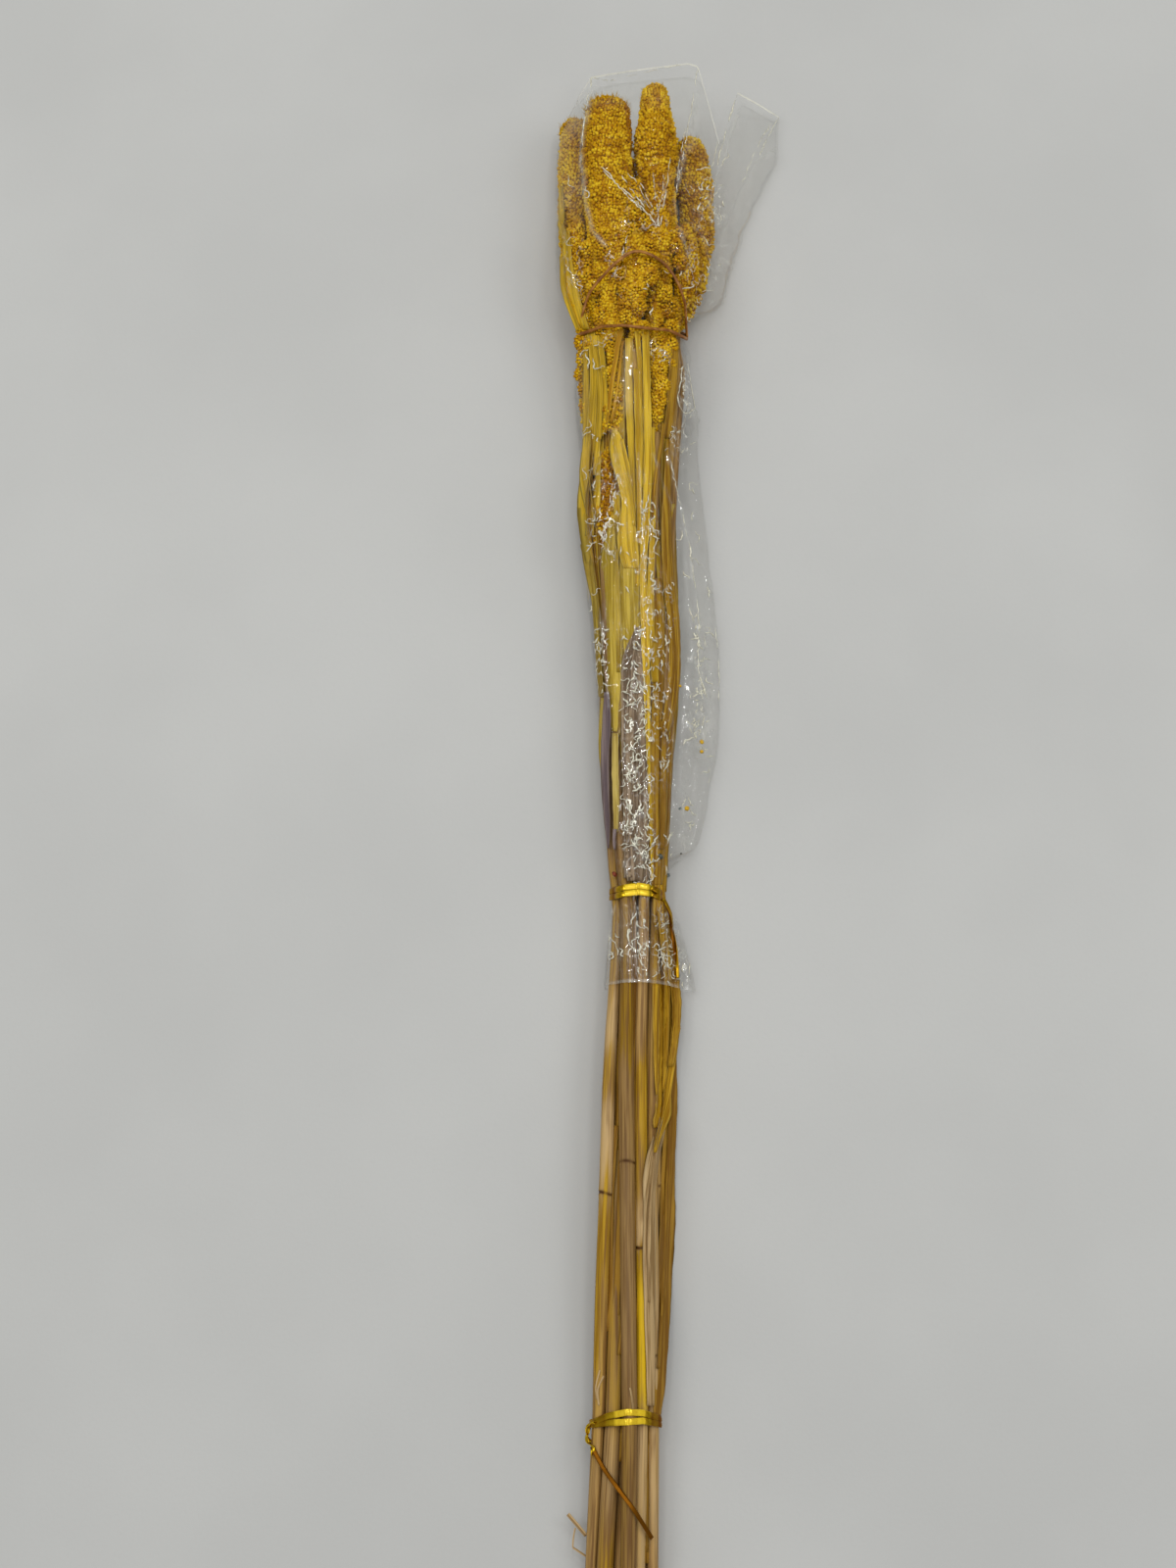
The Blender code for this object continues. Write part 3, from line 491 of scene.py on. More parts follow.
def wrap_faces(rows, columns, closed=True):
    """The quads of a grid of points whose columns run round."""
    j = np.arange(columns if closed else columns - 1)
    after = (j + 1) % columns
    i = np.arange(rows - 1)[:, None] * columns
    return np.stack([i + j, i + after, i + columns + after, i + columns + j], axis=-1).reshape(-1, 4)


def cap_faces(start, columns, flip):
    """A fan of triangles that closes a ring, with its middle point last."""
    j = np.arange(columns)
    after = (j + 1) % columns
    middle = np.full(columns, start + columns)
    fan = np.stack([middle, start + after, start + j], axis=-1)
    return fan[:, ::-1] if flip else fan


# What the solids say

def node_points(name):
    """A solid's own corners, in bunch millimetres."""
    mesh = frame["nodes"][name].data
    points = np.empty(len(mesh.vertices) * 3)
    mesh.vertices.foreach_get("co", points)
    points = points.reshape(-1, 3) / MM - SHIFT
    return np.unique(np.round(points, 3), axis=0)


def sections(name, apart):
    """A long solid's rings, told apart by y: rows of y, x, z and radius."""
    points = node_points(name)
    points = points[np.argsort(points[:, 1])]
    cuts = np.nonzero(np.diff(points[:, 1]) > apart)[0] + 1
    rows = []
    for ring in np.split(points, cuts):
        middle = ring.mean(axis=0)
        radius = np.linalg.norm((ring - middle)[:, [0, 2]], axis=1).mean()
        rows.append((middle[1], middle[0], middle[2], radius))
    return np.array(rows)


def eased(y, rows, column):
    """A column of rows at y, on a smooth curve through them."""
    xs, ys = rows[:, 0], rows[:, column]
    slopes = np.gradient(ys, xs) if len(xs) > 2 else np.full(len(xs), (ys[-1] - ys[0]) / (xs[-1] - xs[0]))
    k = np.clip(np.searchsorted(xs, y) - 1, 0, len(xs) - 2)
    h = xs[k + 1] - xs[k]
    t = np.clip((y - xs[k]) / h, 0, 1)
    a, b = ys[k], ys[k + 1]
    return ((2 * t ** 3 - 3 * t ** 2 + 1) * a + (t ** 3 - 2 * t ** 2 + t) * h * slopes[k]
            + (3 * t ** 2 - 2 * t ** 3) * b + (t ** 3 - t ** 2) * h * slopes[k + 1])


STRANDS = {}
for number in range(1, 11):
    stalk_rows = sections("stem_%d" % number, 1.6)
    head_rows = sections("seed_head_%d" % number, 0.4)
    STRANDS[number] = {"stem": stalk_rows, "head": head_rows,
                       "line": np.concatenate([stalk_rows[:, :3], head_rows[1:-1, :3]])}


def ring(points, reach, y, gap, sides):
    """The outline that wraps all points (x, y, z, radius) within reach of y, gap outside them."""
    near = points[np.abs(points[:, 1] - y) <= reach]
    turn = 2 * math.pi / sides
    angles = turn * np.arange(sides)
    nx, nz = np.cos(angles), np.sin(angles)
    support = (near[:, 0, None] * nx + near[:, 2, None] * nz + near[:, 3, None]).max(axis=0) + gap
    along = (np.roll(support, -1) - support * math.cos(turn)) / math.sin(turn)
    return np.stack([nx * support - nz * along, nz * support + nx * along], axis=1)


# The view that the bunch is laid out in: a place (u, v) is a point of a frame 1200 wide, 1600 high

MIDDLE_U = 600.0
MIDDLE_V = 800.0
FRAME_HEIGHT = 1600.0
SENSOR = 36.0
FOCAL = LENS / SENSOR * FRAME_HEIGHT
EYE = np.array([0.0, -math.sin(CAMERA_TILT), math.cos(CAMERA_TILT)]) * CAMERA_FAR
AHEAD = np.array([0.0, math.sin(CAMERA_TILT), -math.cos(CAMERA_TILT)])
UPWARD = np.array([0.0, math.cos(CAMERA_TILT), math.sin(CAMERA_TILT)])


def sight_line(u, v):
    """The way from the eye through a place."""
    across = ((np.asarray(u, float) - MIDDLE_U) / FOCAL)[..., None] * np.array([1.0, 0.0, 0.0])
    return AHEAD + across + ((MIDDLE_V - np.asarray(v, float)) / FOCAL)[..., None] * UPWARD


def at_height(u, v, z):
    """The point at height z that is seen at a place."""
    way = sight_line(u, v)
    return EYE + way * ((z - EYE[2]) / way[..., 2])[..., None]


def place_of(points):
    """The places where points are seen."""
    off = points - EYE
    far = off @ AHEAD
    return MIDDLE_U + FOCAL * off[..., 0] / far, MIDDLE_V - FOCAL * (off @ UPWARD) / far


def bunch_circles():
    """Every strand as circles: x, y, z, radius."""
    rows = []
    for strand in STRANDS.values():
        line = strand["line"]
        radius = np.concatenate([strand["stem"][:, 3], strand["head"][1:-1, 3]])
        y = np.arange(CUT_END, line[-1, 0], 1.5)
        rows.append(np.stack([np.interp(y, line[:, 0], line[:, 1]), y, np.interp(y, line[:, 0], line[:, 2]),
                              np.interp(y, line[:, 0], radius)], axis=1))
    return gathered(np.concatenate(rows))


class Cover:
    """The upper side of a taut wrap round the strands: a height at each x and y."""

    def __init__(self, circles):
        self.y = np.arange(CUT_END, MOUTH_Y, 2.0)
        self.x = np.arange(-30.0, 80.0, 0.5)
        rows = []
        for y in self.y:
            outline = ring(circles, 4.0, y, 0.0, 48) if y < circles[:, 1].max() - 3 else None
            if outline is None:
                rows.append(rows[-1] * 0.97)
                continue
            top = outline[:24][::-1]
            z = np.interp(self.x, top[:, 0], top[:, 1])
            beyond = np.maximum(top[0, 0] - self.x, 0) + np.maximum(self.x - top[-1, 0], 0)
            rows.append(np.maximum(z - 0.8 * beyond, 0.8))
        self.z = np.array(rows)
        for _ in range(3):
            self.z[1:-1] = (self.z[:-2] + 2 * self.z[1:-1] + self.z[2:]) / 4

    def height(self, x, y):
        i = np.clip((y - self.y[0]) / 2.0, 0, len(self.y) - 1.001)
        j = np.clip((x - self.x[0]) / 0.5, 0, len(self.x) - 1.001)
        a, b = i.astype(int), j.astype(int)
        s, t = i - a, j - b
        low = self.z[a, b] * (1 - t) + self.z[a, b + 1] * t
        return low * (1 - s) + (self.z[a + 1, b] * (1 - t) + self.z[a + 1, b + 1] * t) * s

    def seen(self, u, v, lift=0.0):
        """The point on the wrap, lifted a little, that is seen at a place."""
        z = np.full(np.broadcast(u, v).shape, 20.0)
        for _ in range(20):
            point = at_height(u, v, z)
            z = 0.6 * z + 0.4 * (self.height(point[..., 0], point[..., 1]) + lift)
        return at_height(u, v, z)


def tree_of(pieces):
    """A tree of the pieces' faces, in metres, that rays can meet."""
    points, faces, start = [], [], 0
    for made in pieces:
        mesh = made.data
        flat = np.empty(len(mesh.vertices) * 3)
        mesh.vertices.foreach_get("co", flat)
        points.append(flat.reshape(-1, 3))
        mesh.calc_loop_triangles()
        corners = np.empty(len(mesh.loop_triangles) * 3, np.int32)
        mesh.loop_triangles.foreach_get("vertices", corners)
        faces.append(corners.reshape(-1, 3) + start)
        start += len(mesh.vertices)
    return BVHTree.FromPolygons(np.concatenate(points).tolist(), np.concatenate(faces).tolist())


def drop(tree, x, y, fallback=0.4):
    """The height of the first surface met from above at x, y."""
    hit = tree.ray_cast(Vector(((x + SHIFT[0]) * MM, (y + SHIFT[1]) * MM, 0.2)), Vector((0, 0, -1)))
    return hit[0].z / MM if hit[0] else fallback


def sight(tree, u, v, lift=0.0):
    """The point seen at a place on a tree's surfaces, moved towards the eye, or None."""
    way = sight_line(u, v)
    hit = tree.ray_cast(Vector((EYE + SHIFT) * MM), Vector(way).normalized())
    if not hit[0]:
        return None
    return np.array(hit[0]) / MM - SHIFT - unit(way) * lift


def route(stops, count):
    """A smooth line through a few stops, with count points."""
    stops = np.array(stops, float)
    steps = np.concatenate([[0.0], np.cumsum(np.linalg.norm(np.diff(stops, axis=0), axis=1))])
    rows = np.concatenate([steps[:, None], stops], axis=1)
    at = np.linspace(0, steps[-1], count)
    return np.stack([eased(at, rows, k + 1) for k in range(stops.shape[1])], axis=1)


# Stalks

# Where the dye took on the stalks that show: stalk: [(y, half length, strength, facing in degrees)]
DYE = {
    4: [(-126, 10, 0.7, 150), (-203, 34, 0.8, 160), (-190, 20, 0.5, 40), (-250, 24, 0.35, 120), (-66, 30, 0.5, 110)],
    5: [(-104, 20, 1.1, 80), (-66, 20, 0.7, 40), (-300, 30, 0.2, 150)],
    2: [(-146, 28, 0.9, 60), (-128, 6, 0.5, 100), (-204, 12, 0.9, 90), (-40, 30, 0.3, 100)],
    3: [(-140, 30, 0.3, 100), (-66, 40, 0.6, 60)],
    1: [(-232, 24, 0.5, 120), (-322, 30, 0.8, 60), (-60, 80, 0.3, 90), (60, 60, 0.8, 90)],
}
PALE = {4: [(-160, 24, 1.0), (-100, 22, 0.9)], 5: [(-200, 60, 0.2)], 2: [(-190, 14, 1.0), (-213, 7, 0.9), (-310, 60, 1.2)],
        3: [(-250, 60, 0.9)], 1: [(-262, 30, 0.4)]}
# Browner stalks: stalk: share
DARKER = {5: 0.40, 1: 0.14, 3: 0.06}
# The stalk with a bright yellow length: stalk: (y, half length)
BRIGHT = {2: (-236, 26)}
# Joints: stalk: [(y, darkness)]
JOINTS = {4: [(-174, 1.2), (-322, 0.5)], 5: [(-162, 0.5)], 2: [(-195, 1.3), (-40, 0.5)], 1: [(20, 0.6)],
          3: [(-236, 0.5)], 6: [(-150, 0.8), (-300, 0.6)], 7: [(-120, 0.8), (-262, 0.6)],
          8: [(-110, 0.6), (-290, 0.8)], 9: [(-170, 0.8)], 10: [(-130, 0.6), (-275, 0.5)]}
# The visual stalks are this much thicker than the solids, so that they touch
FULLER = 1.06


def fibre_frame(centres):
    """Side, upper and forward directions at each point of a line that runs along y."""
    along = unit(np.gradient(centres, axis=0))
    side = unit(np.cross(along, np.array([0.0, 0.0, 1.0])))
    return side, np.cross(side, along), along


def stalk(number, finish):
    """A stalk with its fibres, joints, sheath edges and open cut end."""
    rows = STRANDS[number]["stem"]
    sides = 22
    joints = JOINTS.get(number, [])
    y = np.arange(rows[0, 0], rows[-1, 0], 3.0)
    fine = [np.arange(joint - 4.0, joint + 4.0, 0.35) for joint, dark in joints]
    y = np.unique(np.clip(np.concatenate([y, [rows[-1, 0]]] + fine), rows[0, 0], rows[-1, 0]))
    centres = np.stack([eased(y, rows, 1), y, eased(y, rows, 2)], axis=1)
    radius = FULLER * np.interp(y, rows[:, 0], rows[:, 3])
    angle = np.linspace(0, 2 * math.pi, sides, endpoint=False)
    yy, aa = np.meshgrid(y, angle, indexing="ij")
    shape = 1 + 0.020 * noise(aa * 1.4, yy / 60, number, 3) + 0.014 * noise(aa * 3.5, yy / 90, number, 5)
    mark = np.zeros(yy.shape)
    for joint, dark in joints:
        off = yy - joint - 0.45 * np.sin(aa * 1.5 + number)
        shape += 0.075 * np.exp(-(off / 1.9) ** 2) - 0.09 * np.exp(-(off / 0.5) ** 2)
        shape += 0.035 * smooth_step(0.0, 1.0, off) * smooth_step(70, 20, off)
        ragged = 0.75 + 0.4 * noise(aa * 1.8, yy / 8, number, 9)
        mark += 1.4 * dark * np.exp(-(off / 0.62) ** 2) * ragged
        mark += 0.4 * dark * np.exp(-np.abs(off) / 2.2) * np.clip(noise(aa * 2.5, yy / 5, number, 10), 0, 1)
    dye = np.full(yy.shape, 0.05) + 0.22 * np.clip(noise(aa * 0.8, yy / 38, number, 12), 0, 1)
    for middle, half, strength, facing in DYE.get(number, [(60, 160, 0.5, 90)]):
        turned = 0.5 + 0.5 * np.cos(aa - math.radians(facing))
        edge = middle + half * 0.4 * noise(aa * 2.0, number, 0.0, 13)
        dye += strength * turned * np.exp(-((yy - edge) / half) ** 6)
    pale = np.full(yy.shape, 0.12)
    for middle, half, strength in PALE.get(number, []):
        pale += strength * np.exp(-((yy - middle) / half) ** 6)
    bright = np.zeros(yy.shape)
    if number in BRIGHT:
        middle, half = BRIGHT[number]
        bright = np.exp(-((yy - middle - 5 * noise(aa * 2, 0.0, 0.0, 14)) / half) ** 8)
    mark += 0.10 * np.clip(noise(aa * 2.2, yy / 6, number, 20) - 0.45, 0, 1) + DARKER.get(number, 0.0)
    side, up, along = fibre_frame(centres)
    reach = (radius[:, None] * shape)[..., None]
    points = centres[:, None] + reach * (np.cos(aa)[..., None] * side[:, None] + np.sin(aa)[..., None] * up[:, None])
    fibre = np.stack([np.cos(aa) * radius[:, None] * 1.5, yy, np.sin(aa) * radius[:, None] * 1.5 + number * 7.3], axis=-1)
    heap = Heap()
    points = waist(points)
    heap.put(points, wrap_faces(len(y), sides)[:, ::-1], fibre=fibre.reshape(-1, 3), dye=dye.ravel(),
             pale=pale.ravel(), mark=np.clip(mark, 0, 1).ravel(), bright=bright.ravel())
    # The cut end: a ring of wall, then the pith sunk a little inside it
    last = points[0]
    for share, sunk, dark in ((0.74, 0.0, 0.25), (0.66, 1.6, 0.55)):
        inner = centres[0] + (points[0] - centres[0]) * share + along[0] * sunk
        both = np.concatenate([last, inner])
        heap.put(both, wrap_faces(2, sides), fibre=both * 3, dye=0.05, pale=0.9, mark=dark, bright=0.0)
        last = inner
    ends = np.concatenate([last, [centres[0] + along[0] * 1.6]])
    heap.put(ends, cap_faces(0, sides, True), fibre=ends * 3, dye=0.05, pale=1.0, mark=0.35, bright=0.0)
    ends = np.concatenate([points[-1], [centres[-1]]])
    heap.put(ends, cap_faces(0, sides, False), fibre=ends, dye=0.1, pale=0.2, mark=0.2, bright=0.0)
    made = heap.piece("stalk_%d" % number, finish)
    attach(made, "root")
    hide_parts("stem_%d" % number)
    return made


# Seed heads

def seed_ball():
    """A twenty-sided grain: its corners and faces."""
    golden = (1 + 5 ** 0.5) / 2
    corners = np.array([(-1, golden, 0), (1, golden, 0), (-1, -golden, 0), (1, -golden, 0),
                        (0, -1, golden), (0, 1, golden), (0, -1, -golden), (0, 1, -golden),
                        (golden, 0, -1), (golden, 0, 1), (-golden, 0, -1), (-golden, 0, 1)])
    corners /= math.sqrt(1 + golden * golden)
    far = np.linalg.norm(corners[:, None] - corners, axis=2)
    touch = (far > 0.1) & (far < 1.2)
    faces = []
    for a in range(12):
        for b in range(a + 1, 12):
            for c in range(b + 1, 12):
                if touch[a, b] and touch[b, c] and touch[a, c]:
                    turn = np.dot(np.cross(corners[b] - corners[a], corners[c] - corners[a]), corners[a])
                    faces.append((a, b, c) if turn > 0 else (a, c, b))
    return corners, np.array(faces)


BALL, BALL_FACES = seed_ball()
GRAIN = 1.36

# head: (grain size, lobe size, lobe height at the base, at the tip, bristles, tone, tuft, blunt length, fill)
HEADS = {
    1: (1.40, 8.0, 2.6, 0.9, 620, 0.52, 1.6, 5.0, 0.32),
    2: (1.44, 7.5, 2.8, 1.2, 520, 0.60, 0.4, 2.5, 0.0),
    3: (1.44, 7.0, 2.4, 1.3, 300, 0.50, 0.5, 3.5, 0.08),
    4: (1.46, 7.5, 2.4, 1.1, 420, 0.62, 1.0, 4.0, 0.14),
    5: (1.40, 5.0, 1.0, 0.7, 60, 0.20, 0.2, 1.0, 0.0),
    6: (1.75, 7.5, 2.2, 1.2, 80, 0.45, 0.2, 2.0, 0.0),
    7: (1.75, 7.5, 2.2, 1.2, 80, 0.45, 0.2, 2.0, 0.0),
    8: (1.42, 6.0, 2.0, 1.3, 140, 0.52, 0.4, 2.0, 0.0),
    9: (1.42, 6.0, 2.0, 1.3, 140, 0.52, 0.4, 2.0, 0.0),
    10: (1.42, 6.0, 2.1, 1.4, 140, 0.55, 0.4, 2.0, 0.0),
}


# Blunt tips of two heads: head: (distance from the tip, radius)
TIPS = {2: [(0.0, 4.4), (4.5, 6.4), (18.0, 8.2), (24.0, 10.0), (40.0, 10.0)],
        3: [(0.0, 4.6), (4.0, 7.0), (10.0, 8.6), (30.0, 9.0)]}


def put_grains(heap, centre, facing, size, tint, depth, rng):
    """Put a grain on a heap at each centre, standing along facing."""
    count = len(centre)
    across = unit(np.cross(facing, np.array([0.0, 1.0, 0.02])))
    third = np.cross(facing, across)
    spin = rng.uniform(0, 2 * math.pi, count)[:, None]
    side = across * np.cos(spin) + third * np.sin(spin)
    other = np.cross(facing, side)
    scale = size * 0.55 * (1 + rng.normal(0, 0.12, count))
    shaped = BALL[None] * np.array([0.92, 1.06, 1.2]) * scale[:, None, None]
    points = (centre[:, None] + shaped[..., 0:1] * side[:, None] + shaped[..., 1:2] * other[:, None]
              + shaped[..., 2:3] * facing[:, None])
    points[..., 2] = np.maximum(points[..., 2], 0.3)
    faces = (BALL_FACES[None] + 12 * np.arange(count)[:, None, None]).reshape(-1, 3)
    # Each grain is painted darker at its foot, as shade under it
    foot_shade = np.clip(0.20 - 0.9 * BALL[None, :, 2], 0, 1) * np.ones((count, 1))
    deep = np.clip(depth[:, None] + 0.22 * foot_shade, 0, 1)
    heap.put(points.reshape(-1, 3), faces, tint=np.repeat(tint, 12), depth=deep.reshape(-1))


def put_bristles(heap, root, way, long, rng, thick=0.17):
    """Put three-sided bristles on a heap."""
    count = len(root)
    flank = unit(np.cross(way, rng.normal(0, 1, (count, 3))))
    fourth = np.cross(way, flank)
    corners = [root + thick * (math.cos(a) * flank + math.sin(a) * fourth) for a in (0.0, 2.1, 4.2)]
    points = np.stack(corners + [root + way * long[:, None]], axis=1).reshape(-1, 3)
    points[:, 2] = np.maximum(points[:, 2], 0.3)
    shape = np.array([(0, 1, 3), (1, 2, 3), (2, 0, 3), (0, 2, 1)])
    faces = (shape[None] + 4 * np.arange(count)[:, None, None]).reshape(-1, 3)
    heap.put(points, faces, tint=np.repeat(rng.uniform(0, 1, count), 4))


def seed_head(number, grain_paint, bristle_paint):
    """A head: a core painted dark as the shade between its grains, grains in close rows over its lobes with painted
    light on the lobe tops and painted shade in the clefts, and fine bristles.
    """
    size, lobe, low_rise, tip_rise, bristles, tone, tuft, blunt, fill = HEADS[number]
    rows = STRANDS[number]["head"]
    base, tip = rows[0, 0], rows[-1, 0]
    rng = np.random.default_rng(500 + number)
    line_y = np.linspace(base, tip, 240)
    solid = np.interp(line_y, rows[:, 0], np.where((rows[:, 0] > base) & (rows[:, 0] < tip), rows[:, 3] / 0.93, 0.6))
    # Blunter at the tip than the solid is
    upper = line_y > tip - fill * (tip - base)
    full = np.where(upper, np.maximum(solid, 0.93 * solid[~upper][-1]), solid)
    if number in TIPS:
        full = np.maximum(full, np.interp(tip - line_y, *np.array(TIPS[number]).T, right=0.0))
    profile = full * np.clip((tip - line_y + 0.6) / blunt, 0, 1) ** 0.42
    profile = profile * (1 + 0.05 * noise(line_y / 9, number, 0.0, 33))
    slope = np.gradient(profile, line_y)

    def middle(y):
        return np.stack([eased(y, rows, 1), y, eased(y, rows, 2)], axis=-1)

    def outline(y):
        return np.interp(y, line_y, profile)

    def lobes(around, y):
        """0 in the clefts between lobes, 1 on their tops."""
        width = lobe * (1 + 0.25 * noise(y / 11, 0.0, number, 31))
        row = np.floor(y / width)
        best = np.full(y.shape, 9.0)
        for step in (-1, 0, 1):
            r = row + step
            shift = lattice(r.astype(np.int64), np.full(r.shape, number), np.zeros(r.shape, np.int64), 7)
            column = np.floor(around / lobe - shift)
            for dc in (-1, 0, 1):
                c = column + dc
                ci, ri = c.astype(np.int64), r.astype(np.int64)
                cx = (c + shift + 0.5 + 0.5 * (lattice(ci, ri, ci * 0 + 1, number) - 0.5)) * lobe
                cy = (r + 0.5 + 0.5 * (lattice(ci, ri, ci * 0 + 2, number) - 0.5)) * width
                best = np.minimum(best, np.hypot(around - cx, y - cy) / (0.62 * lobe))
        return np.clip(1 - best ** 2, 0, 1)

    def fall(y, r):
        share = np.clip((y - base) / (tip - base), 0, 1)
        rise = low_rise + (tip_rise - low_rise) * smooth_step(0.15, 0.62, share)
        return rise * np.clip(r / 6.0, 0.35, 1.0)

    places = []
    y, k = base + 0.35 * size, 0
    while y < tip - 0.1 * size:
        r = max(outline(y) - 0.5 * size, 0.35)
        count = max(4, int(round(2 * math.pi * r / size)))
        turn = (np.arange(count) + 0.5 * (k % 2)) / count * 2 * math.pi + 0.037 * k
        turn = turn + rng.normal(0, 0.16, count) * size / max(r, 1.0)
        places.append(np.stack([y + rng.normal(0, 0.16 * size, count), turn], axis=1))
        y += size * (0.86 if r > 2 * size else 0.6)
        k += 1
    places = np.concatenate(places)
    y, turn = places[:, 0], places[:, 1] % (2 * math.pi)
    r = outline(y)
    height = lobes(turn * np.maximum(r, 2.5), y)
    rise = fall(y, r)
    reach = np.maximum(r - 0.5 * size - rise * (1 - height) + rng.normal(0, 0.14 * size, len(y)), 0.3)
    lean = np.clip(-np.interp(y, line_y, slope), -1, 3)
    outward = np.stack([np.cos(turn), np.zeros(len(y)), np.sin(turn)], axis=1)
    centre = waist(middle(y) + outward * reach[:, None])
    facing = unit(outward + np.array([0, 1.0, 0]) * (lean + 0.3)[:, None] + rng.normal(0, 0.18, (len(y), 3)))
    # Painted light and shade: shade and lump_shade are noise that paints lighter and darker lumps, and lobe tops
    # (height) are painted lighter than the clefts
    shade = 0.5 * noise(turn * 2.2, y / 6, number, 40) + 0.5 * noise(turn, y / 17, number, 41)
    lump_shade = noise(turn * np.maximum(r, 2.5) / 3.2, y / 3.2, number, 42)
    tint = tone + 0.16 * rng.normal(0, 1, len(y)) + 0.35 * shade + 0.35 * lump_shade + 0.35 * (height - 0.5)
    # Painted shade: head 1 darker on its right side near its tip
    if number == 1:
        tint = tint - 0.45 * smooth_step(15.5, 17.0, centre[:, 0]) * smooth_step(284, 292, y)
    # Painted shade: grains darker the deeper they sit in the clefts between the lobes
    depth = np.clip((1 - height) * rise / 2.2, 0, 1) * 0.8
    heap = Heap()
    put_grains(heap, centre, facing, size, np.clip(tint, 0, 1), depth, rng)
    # The core under the grains, painted dark as the shade between them
    ys = np.linspace(base + 0.5, tip - 1.2, 60)
    core = np.linspace(0, 2 * math.pi, 20, endpoint=False)
    yy, aa = np.meshgrid(ys, core, indexing="ij")
    rr = outline(yy)
    rr = np.maximum(rr - 0.8 * size - fall(yy, rr) * (1 - lobes(aa * np.maximum(rr, 2.5), yy)), 0.25)
    spine = middle(ys)[:, None] + rr[..., None] * np.stack([np.cos(aa), aa * 0, np.sin(aa)], axis=-1)
    spine = waist(spine)
    heap.put(spine, wrap_faces(len(ys), len(core))[:, ::-1], tint=0.2, depth=0.55)
    for end, flip in ((0, True), (-1, False)):
        closing = np.concatenate([spine[end], [middle(ys[[end]])[0]]])
        heap.put(closing, cap_faces(0, len(core), flip), tint=0.1, depth=0.9)
    made = heap.piece("grains_%d" % number, grain_paint)
    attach(made, "root")
    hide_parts("seed_head_%d" % number)
    # Bristles stand between the grains, most of them at the blunt tip
    top = np.nonzero(y > tip - 0.05 * (tip - base))[0]
    pick = np.concatenate([rng.choice(len(y), size=bristles), rng.choice(top, size=int(150 * tuft) + 2)])
    way = unit(facing[pick] + np.array([0, 0.9, 0]) + rng.normal(0, 0.35, (len(pick), 3)))
    long = rng.uniform(1.0, 2.4, len(pick)) * (1 + 0.5 * tuft * np.isin(pick, top))
    hairs = Heap()
    put_bristles(hairs, centre[pick], way, long, rng)
    tufts = hairs.piece("bristles_%d" % number, bristle_paint)
    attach(tufts, "root")
    return made


# Side clusters under the band, on the three heads seen there: (u, v, radius)
LOW_CLUSTERS = [(594, 350, 3.2), (596, 366, 3.2), (594, 382, 3.0), (597, 398, 2.8), (598, 416, 2.4), (604, 352, 3.4),
                (622, 350, 3.8), (628, 366, 3.8), (624, 384, 3.8), (627, 402, 3.6), (623, 418, 3.2), (621, 433, 2.6),
                (670, 348, 3.8), (676, 362, 3.6), (671, 378, 3.8), (675, 394, 3.6), (672, 410, 3.4), (669, 424, 3.0),
                (684, 352, 3.0), (683, 372, 2.6), (648, 192, 3.0), (648, 205, 3.2), (646, 217, 3.0)]
# Where the heads break up into clusters: (v, left u, right u)
CLUSTERED = [(216, 582, 700), (240, 580, 706), (262, 581, 700), (290, 584, 694), (320, 588, 690), (346, 594, 694)]


def clusters(cover, grain_paint):
    """Short side clusters that stand off the heads where these break up, round the band."""
    rng = np.random.default_rng(77)
    edges = np.array(CLUSTERED, float)
    spots = [(u, v, r, rng.uniform(-0.8, 0.2)) for u, v, r in LOW_CLUSTERS]
    v = 224.0
    while v < 346:
        left, right = np.interp(v, edges[:, 0], edges[:, 1]), np.interp(v, edges[:, 0], edges[:, 2])
        for u in np.arange(left + 5, right - 3, 15.0):
            if rng.uniform() > 0.2:
                spots.append((u + rng.uniform(-4, 4), v + rng.uniform(-4, 4), rng.uniform(2.6, 4.4),
                              rng.uniform(-4.0, 1.0)))
        v += 14.5
    heap = Heap()
    for k, (u, v, radius, lift) in enumerate(spots):
        heart = cover.seen(u, v, lift - radius * 0.8)
        if heart[2] < 1.0 + radius * 0.4:
            continue
        count = int(4 * math.pi * radius ** 2 * 0.58 / (GRAIN ** 2 * 0.85))
        n = np.arange(count) + 0.5
        up = 1 - 1.16 * n / count
        turn = n * 2.39996 + rng.uniform(0, 6)
        flat = np.sqrt(np.maximum(1 - up ** 2, 0))
        facing = np.stack([flat * np.cos(turn), flat * np.sin(turn) * 1.05, up], axis=1)
        lumpy = radius * (1 + 0.12 * noise(facing[:, 0] * 1.6, facing[:, 1] * 1.6, k, 44)) + rng.normal(0, 0.12, count)
        centre = heart + facing * np.array([1.0, 1.15, 0.85]) * lumpy[:, None]
        shade = rng.uniform(-0.22, 0.22)
        # Painted light and shade: each cluster lighter on top and darker underneath (depth)
        tint = 0.50 + shade + 0.20 * rng.normal(0, 1, count) + 0.12 * up
        depth = np.clip(0.75 - 1.1 * up, 0, 1)
        put_grains(heap, centre, unit(facing + rng.normal(0, 0.15, facing.shape)), 1.42, np.clip(tint, 0, 1), depth, rng)
    made = heap.piece("side_clusters", grain_paint)
    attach(made, "root")
    return made


# Leaves

